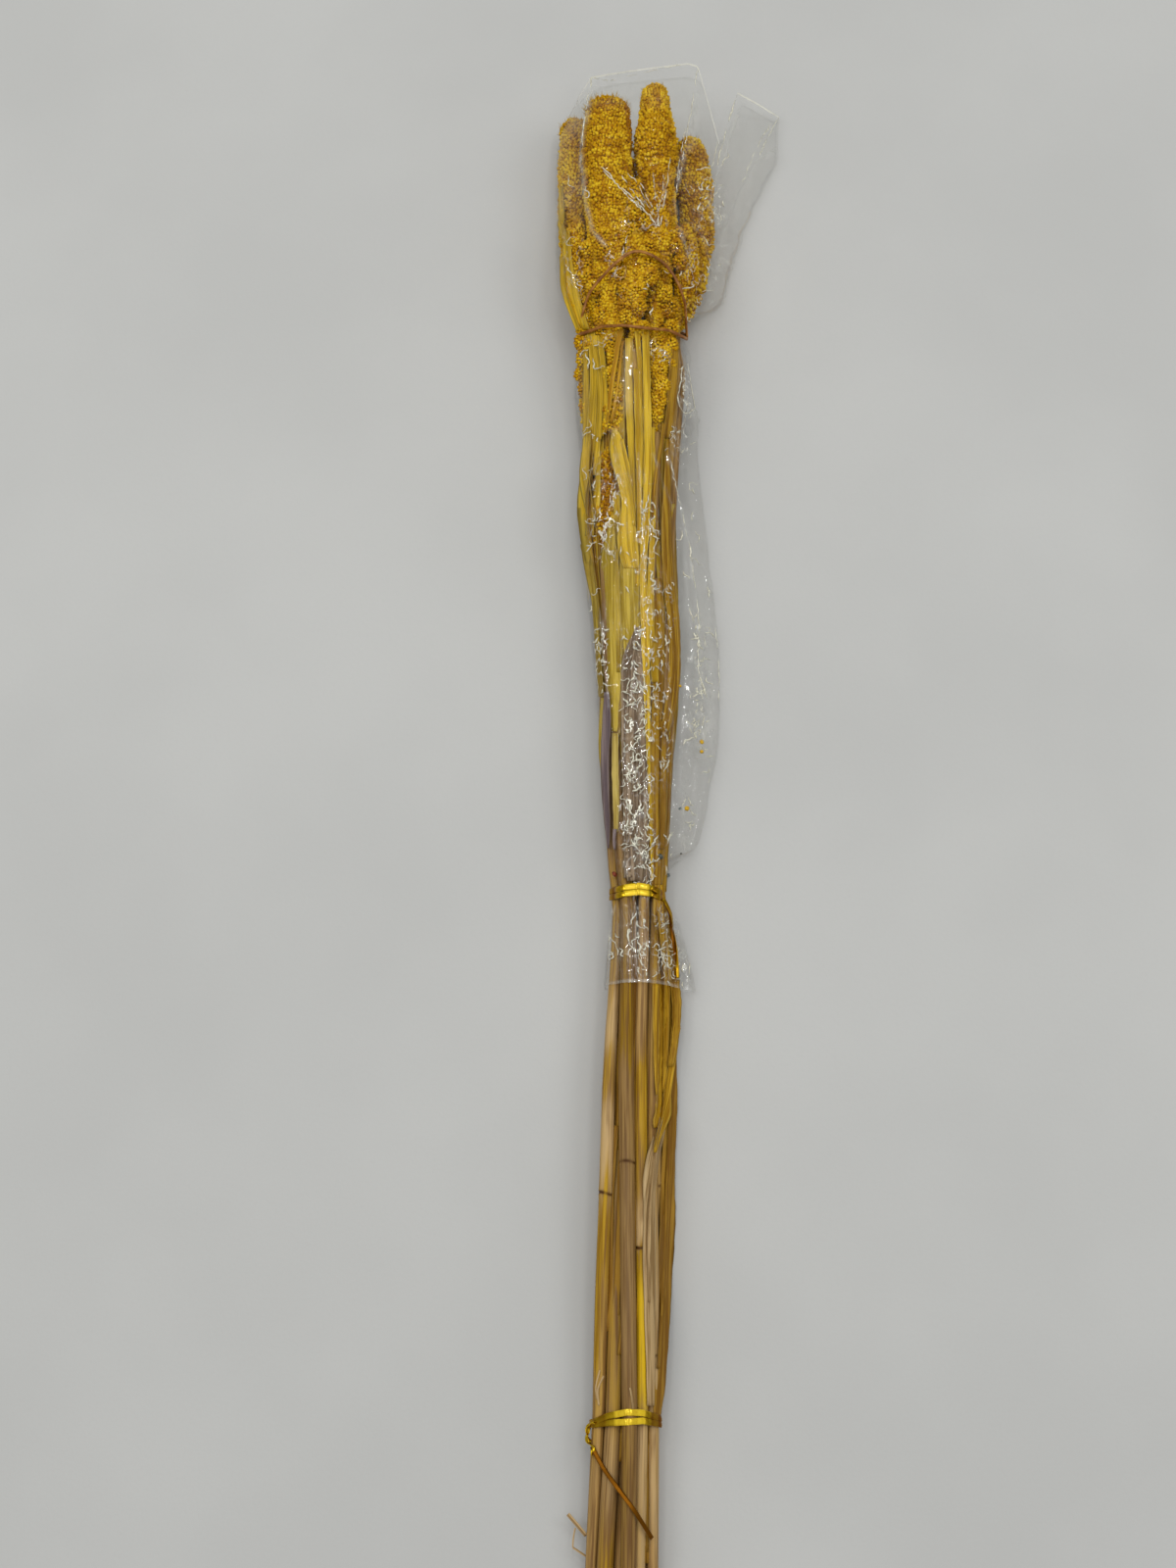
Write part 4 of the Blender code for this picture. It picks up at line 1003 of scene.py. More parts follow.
# Each leaf is one strip or several. A strip is its edges at a few places, (v, left u, right u), then
# its lift over the strands, its cup across and how brown it is.
LEAVES = {
    "leaf_left_blade": [
        ([(190, 571, 575), (225, 572, 578), (262, 575, 581), (300, 579, 587), (336, 588, 598)], 0.3, 0.10, 0.0),
        ([(235, 576, 580), (280, 581, 586), (315, 588, 595), (340, 594, 602)], 0.9, -0.15, 0.1),
        ([(262, 572, 576), (300, 576, 581), (338, 589, 594)], 0.7, 0.20, 0.0)],
    "leaf_upper_left": [
        ([(338, 599, 607), (380, 603, 611), (430, 600, 609), (475, 597, 607), (520, 596, 606), (562, 599, 607)],
         0.3, 0.12, 0.0),
        ([(342, 603, 611), (370, 606, 613), (400, 608, 614), (440, 605, 612), (486, 602, 608)], 0.9, -0.2, 0.0),
        ([(350, 596, 601), (420, 596, 602), (500, 594, 598)], 0.3, 0.2, 0.2)],
    "leaf_upper_slip": [
        ([(344, 610, 615), (366, 612, 618), (395, 615, 620), (425, 616, 620), (446, 614, 616)], 0.9, 0.16, 0.0),
        ([(352, 606, 609), (390, 612, 615), (452, 611, 614)], 1.3, 0.2, 0.1)],
    "leaf_upper_mid": [
        ([(337, 629, 636), (358, 627, 632), (388, 622, 627), (420, 618, 622), (446, 615, 618)], 1.2, -0.14, 0.0),
        ([(348, 634, 637), (392, 629, 632), (436, 622, 625)], 0.2, 0.2, 0.3)],
    "leaf_wide_tip": [
        ([(437, 626, 627.5), (444, 623, 633), (456, 622, 637), (472, 624, 641), (492, 630, 644), (512, 634, 646),
          (535, 631, 649), (560, 630, 652), (580, 636, 653)], 1.1, -0.055, 0.0),
        ([(448, 633, 636), (474, 639, 642), (510, 643, 646), (540, 646, 649)], 1.5, 0.1, 0.1)],
    "leaf_left_ribbon": [
        ([(438, 597, 604), (470, 596, 605), (498, 597, 607), (528, 601, 608), (548, 601, 609)], 0.9, 0.14, 0.0),
        ([(462, 594, 598), (510, 594, 599), (556, 595, 601)], 0.6, 0.2, 0.1),
        ([(466, 610, 613), (494, 605, 610), (530, 602, 606)], 1.4, -0.2, 0.0),
        ([(540, 599, 602), (556, 596, 599), (566, 600, 602)], 0.9, 0.2, 0.2)],
    "leaf_olive_left": [
        ([(528, 623, 625), (548, 618, 628), (572, 613, 631), (600, 612, 632), (640, 612, 633), (680, 615, 633),
          (704, 617, 632), (728, 621, 631), (750, 625, 630)], 0.9, -0.06, 0.0),
        ([(556, 598, 606), (580, 600, 610), (620, 606, 612), (660, 609, 614), (712, 613, 618)], 0.4, 0.14, 0.35),
        ([(560, 627, 631), (620, 629, 633), (690, 629, 633)], 1.3, 0.2, 0.3)],
    "leaf_olive_mid": [
        ([(545, 636, 650), (570, 632, 652), (600, 631, 653), (630, 632, 653), (652, 635, 653), (678, 637, 653)],
         0.8, -0.05, 0.0),
        ([(556, 652, 655), (600, 652, 656), (640, 651, 655)], 0.5, 0.2, 0.4)],
    "leaf_bright": [
        ([(336, 655, 662), (400, 656, 664), (470, 657, 665), (530, 655, 663), (580, 653, 660), (640, 654, 662),
          (700, 656.5, 663.5), (745, 658.5, 663.5), (790, 660.5, 663.5), (840, 662.5, 665.5), (900, 664.5, 667)],
         1.3, 0.12, 0.0),
        ([(376, 646, 652), (440, 648, 655), (520, 650, 655), (600, 648, 653)], 0.5, 0.2, 0.15),
        ([(338, 648, 653), (366, 650, 655), (420, 652, 656), (500, 653, 657)], 0.8, -0.2, 0.0),
        ([(436, 664, 668), (520, 664, 669), (600, 660, 667), (700, 664, 671)], 0.7, 0.15, 0.2),
        ([(345, 638, 646), (400, 638, 646), (470, 641, 648), (540, 642, 650)], 0.0, -0.1, 0.3)],
    "leaf_ochre_right": [
        ([(448, 680, 684), (500, 678, 686), (550, 677, 689), (600, 679, 692), (640, 682, 694), (670, 683, 695),
          (700, 681, 694), (725, 678, 690), (748, 676, 684)], 0.9, -0.08, 0.0),
        ([(432, 675, 679), (462, 671, 675), (492, 666, 670), (530, 664, 667)], 1.2, 0.2, 0.1),
        ([(590, 666, 676), (640, 668, 680), (700, 667, 679), (750, 665, 676)], 0.6, -0.1, 0.1),
        ([(350, 684, 692), (400, 680, 690), (450, 676, 684)], 0.0, 0.1, 0.2)],
    "leaf_sheath_right": [
        ([(736, 663, 682), (770, 662, 683), (810, 661, 683), (850, 662, 681), (880, 663, 679), (906, 666, 675)],
         0.9, -0.08, 0.25),
        ([(745, 674, 679), (800, 673, 679), (870, 672, 677)], 1.3, 0.2, 0.8)],
    "leaf_edge_left": [
        ([(712, 614, 617), (728, 613, 617), (744, 612.5, 617), (770, 612.5, 616.5), (794, 614, 616.5)],
         0.8, 0.1, 0.0)],
    "leaf_pale_strand": [
        ([(748, 625, 631), (790, 624.5, 631.5), (830, 626, 632), (853, 627, 630)], 1.0, 0.16, 0.0),
        ([(704, 626, 634), (730, 625, 634), (752, 626, 633)], 0.5, 0.1, 1.0)],
    "leaf_mauve_strip": [
        ([(706, 617, 622), (730, 615.5, 624), (770, 615.5, 624), (810, 617, 624), (842, 619, 624), (866, 620.5, 622)],
         1.2, 0.16, 0.0),
        ([(846, 626, 630), (858, 626, 629), (868, 627, 629)], 1.3, 0.2, 0.0)],
    "leaf_blond_diagonal": [
        ([(1090, 680, 684), (1112, 677, 683), (1136, 672, 681), (1160, 667.5, 679), (1200, 662, 675),
          (1240, 658, 671), (1280, 657, 670), (1330, 658, 669), (1400, 660, 669), (1438, 661, 668)], 1.0, -0.08, 0.0),
        ([(1140, 672, 675), (1190, 664, 667), (1260, 660, 663), (1330, 661, 663)], 1.2, 0.2, 0.3)],
    "leaf_brown_right": [
        ([(1068, 684, 691), (1110, 680, 691.5), (1168, 677, 690.5), (1220, 674, 689), (1280, 671, 687),
          (1320, 669, 685), (1380, 668, 682), (1425, 668, 678), (1452, 668, 674)], 0.5, -0.07, 0.1),
        ([(1090, 684, 687), (1180, 680, 683), (1300, 674, 677), (1400, 670, 673)], 0.9, 0.2, 0.5)],
    "leaf_twisted_sheath": [
        ([(903, 669, 679), (930, 668, 682), (960, 667, 686), (1000, 667, 691), (1030, 667, 693), (1060, 667, 690),
          (1085, 667.5, 686), (1110, 668, 683.5), (1130, 668, 680), (1152, 668, 674)], 1.0, -0.03, 0.1),
        ([(1008, 686, 692), (1034, 688, 693), (1062, 684.5, 691), (1092, 680, 687), (1118, 675, 683), (1140, 671, 679),
          (1160, 668, 673.5), (1180, 666, 668.5)], 1.5, 0.16, 0.0),
        ([(1000, 681, 690), (1030, 683, 692), (1062, 682, 689), (1090, 678, 684)], 1.4, 0.3, 0.6),
        ([(1004, 668, 674), (1050, 668, 673), (1092, 668.5, 672), (1120, 669.5, 671)], 1.3, -0.1, 0.2),
        ([(930, 670, 676), (980, 672, 679), (1040, 675, 681), (1096, 674.5, 678), (1118, 675, 676.5)],
         1.4, 0.2, 0.0)],
}
# Beige crumples of sheath that lie under the film
CRUMPLED = [([(640, 649, 652), (656, 641, 654), (672, 635, 655), (700, 634, 653), (760, 634, 651), (830, 636, 651),
              (899, 637, 650)], 1.0),
            ([(662, 648, 656), (700, 650, 659), (780, 650, 662), (905, 650, 662)], 0.7),
            ([(852, 639, 652), (872, 638, 656), (900, 640, 655)], 1.3)]
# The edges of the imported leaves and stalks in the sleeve: (v, left u, right u)
PACKED = [(338, 592, 692), (400, 596, 690), (440, 597, 686), (500, 596, 688), (560, 600, 690), (640, 609, 693),
          (700, 613, 693), (760, 613, 686), (850, 621, 682), (905, 628, 677), (1020, 624, 690), (1168, 616, 688),
          (1320, 612, 682), (1460, 604, 670), (1598, 597, 668)]


def strip_shape(centres, side, out, width, thick, cup=0.0, ribs=0.0, rib_step=0.9, columns=9, seed=0,
                ragged=0.0, mark=0.0, rough=0.10):
    """A thin closed strip along centres: its points, faces and values."""
    rows = len(centres)
    t = np.linspace(-1, 1, columns)
    y = np.concatenate([[0], np.cumsum(np.linalg.norm(np.diff(centres, axis=0), axis=1))])
    width = np.asarray(width, float) * np.ones(rows)
    across = t[None] * width[:, None] / 2
    across = across + ragged * noise(y[:, None] / 3.5, t[None] * 0.7 + 5, 0, seed + 50) * np.abs(t[None]) ** 3
    lift = cup * width[:, None] * (t[None] ** 2) + ribs * np.cos(across * 2 * math.pi / rib_step)
    lift = lift + rough * noise(across / 1.8, y[:, None] / 14, seed, 51)
    lift = lift + 2.5 * np.maximum(rough - 0.12, 0) * ridges(across / 2.2, y[:, None] / 3.0, seed, 52)
    middle = centres[:, None] + across[..., None] * side[:, None]
    top = middle + (lift + thick / 2)[..., None] * out[:, None]
    low = middle + (lift - thick / 2)[..., None] * out[:, None]
    loop = np.concatenate([top, low[:, ::-1]], axis=1)
    loop[..., 2] = np.maximum(loop[..., 2], 0.2)
    total = 2 * columns
    pairs = np.arange(columns - 1)
    ends = np.stack([pairs, pairs + 1, total - 2 - pairs, total - 1 - pairs], axis=1)
    faces = [wrap_faces(rows, total), ends[:, ::-1], ends + (rows - 1) * total]
    flat = np.concatenate([across, across[:, ::-1]], axis=1)
    fibre = np.stack([flat, np.repeat(y[:, None], total, axis=1), np.full(flat.shape, seed * 3.7)], axis=-1)
    # 1 at the outermost columns: the leaf paint makes this a paler edge and, at the very edge, a painted shade line
    rim = np.clip(np.abs(np.concatenate([t, t[::-1]])) * 6 - 5, 0, 1)[None] * np.ones((rows, 1))
    values = {"fibre": fibre.reshape(-1, 3), "rim": rim.ravel(), "mark": np.full(flat.size, float(mark))}
    return loop.reshape(-1, 3), faces, values


def seen_strip(heap, cover, stops, lift, cup, mark, seed, thick=0.2, rough=0.10, columns=11, step=4.2):
    """Put a strip on a heap: it lies over the strands with its edges where the stops say."""
    stops = np.array(stops, float)
    v = np.arange(stops[0, 0], stops[-1, 0], step)[::-1]
    left, right = eased(v, stops, 1), eased(v, stops, 2)
    a, b = cover.seen(left, v, lift), cover.seen(right, v, lift)
    c = cover.seen((left + right) / 2, v, lift)
    side = unit(b - a)
    width = np.linalg.norm(b - a, axis=1)
    along = unit(np.gradient(c, axis=0))
    out = unit(np.cross(side, along))
    bulge = ((c - (a + b) / 2) * out).sum(axis=1)
    share = cup * (1.0 + 0.5 * noise(c[:, 1] / 20, 1.0, 0.0, seed)) - bulge / np.maximum(width, 0.3)
    shape = strip_shape(c, side, out, np.maximum(width, 0.3), thick, share[:, None], 0.035, 0.8, columns, seed,
                        0.2, mark, rough)
    heap.put(shape[0], shape[1], **shape[2])


def leaf(name, cover, finish):
    """A leaf, built of one ply or several that split and overlap as the dry blade does."""
    heap = Heap()
    base = 60 + 31 * sorted(LEAVES).index(name)
    for k, (stops, lift, cup, mark) in enumerate(LEAVES[name]):
        crushed = 0.34 if name == "leaf_twisted_sheath" and k in (0, 2) else 0.11
        seen_strip(heap, cover, stops, lift, cup, mark, base + 7 * k, rough=crushed)
    made = heap.piece(name + "_blade", finish)
    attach(made, "root")
    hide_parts(name)
    return made


def crumpled_sheath(cover, finish):
    heap = Heap()
    for k, (stops, lift) in enumerate(CRUMPLED):
        seen_strip(heap, cover, stops, lift, -0.03, 0.0, 700 + k, rough=0.35, columns=13, step=3.6)
    made = heap.piece("crumpled_sheath", finish)
    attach(made, "root")
    return made


def packing(cover, finish, name, count, first_seed, lift, starts=(336, 560), last=911):
    """Straw strips that fill the clefts between the stalks."""
    heap = Heap()
    edges = np.array(PACKED, float)
    rng = np.random.default_rng(first_seed)
    for k in range(count):
        start = rng.uniform(*starts)
        end = min(start + rng.uniform(160, 420), last)
        share = (k + 0.5 + rng.uniform(-0.3, 0.3)) / count
        stops = []
        for v in np.linspace(start, end, 6):
            left, right = np.interp(v, edges[:, 0], edges[:, 1]), np.interp(v, edges[:, 0], edges[:, 2])
            middle = left + (right - left) * np.clip(share + rng.uniform(-0.02, 0.02), 0.05, 0.95)
            half = rng.uniform(2.6, 4.4)
            stops.append((v, middle - half, middle + half))
        seen_strip(heap, cover, stops, lift * rng.uniform(0.6, 1.3), rng.uniform(-0.15, 0.25), rng.uniform(0, 0.5),
                   first_seed + k, columns=5, step=7.0)
    made = heap.piece(name, finish)
    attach(made, "root")
    return made


# Film

FILM_STOPS = [-90, -77, -66, -56, -44, -28, -8, 14, 36, 58, 80, 102, 124, 146, 166, 184, 198, 209, 222,
              240, 258, 276, 294, 312, 328, 345]
FILM_SIDES = 24
LIP_Y = 312.0
LIP_X = 55.0
LIP_SLOPE = 0.68
OVER = 128
UNDER = 32

# Rows that the band and the upper tie are seen on: (u, v)
BAND_SEEN = [(584, 343), (591, 341), (601, 338), (615, 333), (636, 332), (661, 335), (683, 337), (701, 346), (708, 350)]
LOOP_SEEN = [(594, 323), (601, 302), (617, 282), (633, 267), (647, 259), (663, 262), (677, 271), (692, 291), (699, 311)]
TIE_UPPER_SEEN = [[(620, 911), (626, 908.5), (638, 905.4), (652, 903.8), (665, 905.6), (681, 914.5), (688, 918)],
                  [(620, 917), (626, 914.7), (638, 911.8), (652, 910.4), (665, 912.0), (681, 918.6), (688, 921)]]
TIE_LOWER_SEEN = [[(598, 1453), (606, 1451), (620, 1445), (640, 1441), (656, 1441.8), (673, 1447), (678, 1450)],
                  [(598, 1454), (606, 1453.5), (620, 1452), (640, 1451), (656, 1449.8), (673, 1453), (678, 1455)]]


def onto_row(points, seen):
    """Points moved along the bunch until they are seen on a row of places."""
    seen = np.array(seen, float)
    u, v = place_of(points)
    row = np.interp(u, seen[:, 0], seen[:, 1])
    moved = points.copy()
    moved[..., 1] = at_height(u, row, points[..., 2])[..., 1]
    return moved


def film_outline(points, stop):
    """The sleeve's outline at a stop: the solid's outer corners there."""
    lip = max(0.0, stop - LIP_Y) / (MOUTH_Y - LIP_Y)
    level = points[:, 1] + lip * np.maximum(0.0, points[:, 0] - LIP_X) * LIP_SLOPE
    near = points[np.abs(level - stop) < 1.3]
    circles = np.concatenate([near, np.zeros((len(near), 1))], axis=1)
    return ring(circles, 1e3, stop, 0.0, FILM_SIDES)


def resample(line, count):
    """A polyline's points at even steps, count of them."""
    steps = np.linalg.norm(np.diff(line, axis=0), axis=1)
    lengths = np.concatenate([[0.0], np.cumsum(steps)])
    at = np.linspace(0, lengths[-1], count)
    return np.stack([np.interp(at, lengths, line[:, k]) for k in range(line.shape[1])], axis=1)


def film_net():
    """The smooth sleeve before it is crumpled: points[row, column], over the top and then below."""
    points = node_points("film_sleeve")
    outlines = []
    half = FILM_SIDES // 2
    for stop in FILM_STOPS:
        outline = film_outline(points, stop)
        over = resample(outline[:half], OVER + 1)[:-1]
        under = resample(np.concatenate([outline[half - 1:], outline[:1]]), UNDER + 1)[:-1]
        outlines.append(np.concatenate([over, under]))
    outlines = np.array(outlines)
    y = np.arange(SKIRT_Y, MOUTH_Y + 0.1, 0.84)
    stops = np.array(FILM_STOPS, float)
    slopes = np.gradient(outlines, stops, axis=0)
    k = np.clip(np.searchsorted(stops, y) - 1, 0, len(stops) - 2)
    h = (stops[k + 1] - stops[k])[:, None, None]
    t = ((y - stops[k]) / (stops[k + 1] - stops[k]))[:, None, None]
    flat = ((2 * t ** 3 - 3 * t ** 2 + 1) * outlines[k] + (t ** 3 - 2 * t ** 2 + t) * h * slopes[k] * 0.5
            + (3 * t ** 2 - 2 * t ** 3) * outlines[k + 1] + (t ** 3 - t ** 2) * h * slopes[k + 1] * 0.5)
    grid = np.zeros((len(y), outlines.shape[1], 3))
    grid[..., 0], grid[..., 1], grid[..., 2] = flat[..., 0], y[:, None], flat[..., 1]
    # At the band and the tie the neck lies on their slanting rows
    for level, seen, reach in ((BAND_Y, BAND_SEEN, 16.0), (TIE_UPPER_Y, TIE_UPPER_SEEN[0], 11.0)):
        at = grid.copy()
        at[..., 1] = level
        moved = onto_row(at, seen)[..., 1] - level
        grid[..., 1] += moved * np.exp(-((y - level) / reach) ** 2)[:, None]
    return grid, y


# The mouth's edge: (u, v) along the upper layer, with the open notch before the right flap
MOUTH_EDGE = [(540, 118), (578, 116), (592, 96), (603, 77), (640, 71), (702, 63), (712, 66), (722, 104),
              (733, 148), (742, 122), (752, 93), (775, 106), (795, 119), (830, 140)]
UNDER_EDGE = [(540, 128), (590, 106), (606, 86), (700, 76), (716, 80), (733, 150), (756, 104), (795, 126), (830, 146)]

# Creases: (places (u, v) in order, height, half width, whiteness, painted along them partly as whitened film and partly
# as a glint)
CREASES = [
    ([(604, 78), (597, 120), (594, 160), (597, 200), (604, 235), (618, 250)], 1.3, 0.8, 0.8),
    ([(706, 118), (693, 165), (690, 200), (693, 230), (702, 262)], 0.9, 0.8, 0.5),
    ([(712, 66), (701, 136), (692, 184)], 1.0, 0.7, 0.5),
    ([(752, 93), (738, 140), (730, 175), (722, 210)], 1.0, 0.7, 0.7),
    ([(790, 124), (768, 150), (752, 190), (742, 225), (728, 262)], 0.8, 0.7, 0.5),
    ([(683, 465), (692, 505), (700, 545), (707, 590), (713, 626), (712, 700)], 1.2, 0.6, 0.6),
    ([(712, 700), (724, 722), (716, 752)], 1.0, 0.6, 0.6),
    ([(700, 735), (716, 755), (722, 738)], 0.9, 0.6, 0.7),
    ([(697, 352), (709, 378), (714, 410), (711, 440)], 0.9, 0.6, 0.5),
    ([(668, 462), (677, 490), (686, 520)], 0.8, 0.5, 0.5),
    ([(652, 462), (655, 520), (659, 566), (656, 612)], 0.6, 0.4, 0.3),
    ([(684, 700), (690, 750), (686, 812), (680, 862)], 0.7, 0.5, 0.4),
    ([(609, 620), (614, 660), (618, 690), (621, 722)], 0.7, 0.4, 0.5),
    ([(680, 922), (691, 950), (701, 990)], 0.9, 0.5, 0.6),
    ([(628, 924), (622, 955), (619, 1004)], 0.8, 0.5, 0.5),
    ([(674, 922), (680, 960), (684, 1004)], 0.7, 0.4, 0.5),
    ([(648, 922), (648, 964), (652, 1004)], 0.5, 0.4, 0.3),
    ([(715, 240), (724, 268), (734, 292)], 0.8, 0.4, 0.5),
]

# Crumpled patches: (x, y, half width, half length, height, crest spacing)
CRUMPLES = [
    (20, 0, 8, 50, 0.62, 3.2), (30, 12, 7, 34, 0.5, 3.4), (32, 268, 9, 16, 0.45, 4.0), (54, 268, 7, 14, 0.8, 4.0),
    (8, 128, 7, 20, 0.7, 3.0), (28, 96, 6, 26, 0.65, 3.6), (28, 70, 9, 18, 0.6, 3.6), (45, 168, 6, 16, 0.8, 3.4),
    (6, 60, 4, 20, 0.6, 3.0), (50, 44, 6, 28, 0.7, 3.2), (48, 14, 7, 10, 0.7, 3.4), (24, -74, 16, 18, 0.55, 4.2),
    (6, 202, 4, 6, 0.5, 3.0), (34, 190, 5, 8, 0.6, 3.0), (12, 148, 5, 5, 0.6, 2.8), (60, 240, 9, 26, 0.7, 5.0),
    (-6, 250, 6, 40, 0.35, 5.0), (40, 146, 5, 8, 0.7, 3.2), (22, -38, 14, 8, 0.6, 3.0), (42, -10, 7, 26, 0.45, 4.0),
    (44, 90, 6, 60, 0.4, 6.0), (38, 240, 10, 24, 0.4, 5.0),
]


def from_line(u, v, line):
    """The distance of places from a line of places."""
    best = np.full(u.shape, 1e9)
    line = np.array(line, float)
    for a, b in zip(line, line[1:]):
        span = b - a
        t = np.clip(((u - a[0]) * span[0] + (v - a[1]) * span[1]) / (span @ span), 0, 1)
        best = np.minimum(best, np.hypot(u - a[0] - t * span[0], v - a[1] - t * span[1]))
    return best


def film(contents, finish):
    """The sleeve: drawn in where it is slack, pleated at its ties, creased and crumpled."""
    net, level = film_net()
    net = waist(net)
    rows, columns = net.shape[:2]
    upper = np.zeros((rows, columns), bool)
    upper[:, :OVER] = True
    along = np.gradient(net, axis=0)
    around = (np.roll(net, -1, axis=1) - np.roll(net, 1, axis=1)) / 2
    out = unit(np.cross(along, around))
    if ((net - net.mean(axis=1, keepdims=True)) * out).sum() < 0:
        out = -out
    # Slack film sinks towards what it wraps
    depth = np.zeros((rows, columns))
    for i in range(rows):
        for j in range(OVER):
            hit = contents.ray_cast(Vector((net[i, j] + SHIFT) * MM), Vector(-out[i, j]), 0.012)
            depth[i, j] = min(hit[3] / MM, 5.0) if hit[0] else 1.2
    blur = depth.copy()
    for _ in range(10):
        blur[1:-1] = (blur[:-2] + 2 * blur[1:-1] + blur[2:]) / 4
        blur = (np.roll(blur, 1, axis=1) + 2 * blur + np.roll(blur, -1, axis=1)) / 4
    slack = np.clip(0.35 + 0.45 * noise(net[..., 0] / 16, net[..., 1] / 40, 0.0, 71), 0.0, 0.8)
    sink = np.clip(np.minimum(blur, depth + 0.4) - 0.5, 0, 4) * slack
    x, y, z = net[..., 0], level[:, None] * np.ones((1, columns)), net[..., 2]
    column = np.arange(columns)[None] * np.ones((rows, 1))
    neck = np.exp(-np.abs(y - TIE_UPPER_Y) / 20) + 0.5 * np.exp(-np.abs(y - BAND_Y) / 12)
    calm = 1 - 0.9 * np.exp(-((y - TIE_UPPER_Y) / 4.5) ** 2) - 0.8 * np.exp(-((y - BAND_Y - 1) / 5) ** 2)
    pleat = neck * (0.8 * ridges(column / 9.0, y / 130, 0.0, 72) + 0.5 * ridges(column / 4.5, y / 90, 0.0, 73))
    waves = 0.5 * fractal(x / 14, y / 22, z / 14, 74) + 0.25 * fractal(x / 4, y / 6, z / 4, 75)
    crushed = np.zeros((rows, columns))
    for cx, cy, hx, hy, height, spacing in CRUMPLES:
        near = np.exp(-((x - cx) / hx) ** 4 - ((y - cy) / hy) ** 4) * upper
        seed = int(abs(cx * 3 + cy))
        warp_x = x + 1.2 * noise(x / 3, y / 3, 0, seed)
        warp_y = y + 1.2 * noise(x / 3, y / 3, 5, seed)
        first = ridges(warp_x / spacing, warp_y / (spacing * 1.5), 0, seed + 1) ** 2
        second = ridges(warp_x / (spacing * 0.55), warp_y / (spacing * 0.7), 0, seed + 2) ** 2
        crushed += near * height * (first + 0.5 * second * first ** 0.3)
    folds = 0.45 * ridges(x / 8, y / 14, z / 8, 76) ** 3 * (0.5 + 0.5 * noise(x / 20, y / 30, 0, 77))
    height = (pleat + waves + crushed + folds) * calm
    # Painted highlight: crushed crests, the listed creases and the cut edges at mouth and skirt are painted white,
    # partly as whitened film and partly as glints
    crease = 0.35 * np.clip(crushed / 0.7, 0, 1) ** 3
    u, v = place_of(net)
    for line, tall, half, white in CREASES:
        far = 0.42 * from_line(u + 1.2 * noise(y / 5, x / 5, 0, 90), v, line)
        height += tall * np.exp(-far / (1.6 * half)) * upper * calm
        broken = 0.55 + 0.45 * noise(x / 2.2, y / 3.5, 0, 91)
        crease = np.maximum(crease, white * np.exp(-(far / half) ** 2) * upper * broken)
    crease = np.maximum(crease, 1.0 * (level[:, None] > MOUTH_Y - 1.8) + 0.35 * (level[:, None] < SKIRT_Y + 0.9))
    height = np.where(upper, height, np.clip(height * 0.25, -0.05, 0.15))
    net = net + out * (height - sink - 0.35 * upper)[..., None]
    # The mouth's edge is cut on a slant with a notch, so the rows above the heads close up to it
    start = 262.0
    for edge, part in ((MOUTH_EDGE, slice(0, OVER)), (UNDER_EDGE, slice(OVER, columns))):
        last = net[-1, part]
        seen_u = place_of(last)[0]
        end = at_height(seen_u, np.interp(seen_u, *np.array(edge, float).T), last[:, 2])[:, 1][None]
        share = np.clip((y[:, part] - start) / (MOUTH_Y - start), 0, 1)
        net[:, part, 1] = np.where(share > 0, start + share * (end - start), net[:, part, 1])
    # Nothing inside comes through the upper layer
    lack = np.zeros((rows, OVER))
    for i in range(rows):
        for j in range(OVER):
            p = net[i, j]
            lack[i, j] = np.clip(drop(contents, p[0], p[1], 0.0) + 0.3 - p[2], 0, 4)
    for _ in range(2):
        spread = lack.copy()
        spread[1:-1] = np.maximum(spread[1:-1], (lack[:-2] + lack[2:]) / 2)
        spread[:, 1:-1] = np.maximum(spread[:, 1:-1], (lack[:, :-2] + lack[:, 2:]) / 2)
        lack = spread
    sides = np.minimum(np.arange(OVER), OVER - 1 - np.arange(OVER)) / 10.0
    net[:, :OVER, 2] += lack * np.clip(sides, 0, 1)[None]
    net[..., 2] = np.maximum(net[..., 2], 0.25)
    # The skirt's right side stands out straight, and no further than it is seen
    u, v = place_of(net)
    far = np.interp(v, [915, 921, 940, 960, 980, 1000, 1016], [900, 684, 692, 698, 703, 708, 711])
    near = np.interp(v, [915, 921, 940, 960, 980, 1000, 1016], [0, 624, 623, 620, 618, 616, 615])
    net[..., 0] -= 0.39 * (np.maximum(u - far, 0) - np.maximum(near - u, 0))
    # Milky places: doubled film left of the first crease and over the right head, the flap, the pocket
    u, v = place_of(net)
    left_line = np.interp(v, [78, 120, 160, 200, 235, 262], [604, 597, 594, 597, 604, 620])
    right_line = np.interp(v, [66, 136, 184, 230, 262], [712, 701, 692, 693, 702])
    milk = 0.42 * smooth_step(1.0, -1.0, u - left_line) * smooth_step(250, 200, v)
    milk = np.maximum(milk, 0.24 * smooth_step(-1.0, 1.0, u - right_line) * smooth_step(280, 230, v))
    milk = np.maximum(milk, 0.22 * smooth_step(728, 742, u))
    milk = np.maximum(milk, 0.14 * smooth_step(116, 104, v))
    milk = np.maximum(milk, 0.14 * smooth_step(606, 598, u) * smooth_step(330, 400, v) * smooth_step(700, 600, v))
    milk = np.maximum(milk, 0.30 * np.exp(-((u - 640) / 5) ** 2) * smooth_step(345, 352, v) * smooth_step(430, 410, v))
    milk = np.maximum(milk, 0.16 * smooth_step(690, 700, u) * smooth_step(330, 400, v) * smooth_step(930, 900, v))
    milk = np.maximum(milk, 0.40 * smooth_step(918, 930, v) * smooth_step(668, 655, u))
    milk = np.maximum(milk, 0.18 * smooth_step(918, 930, v))
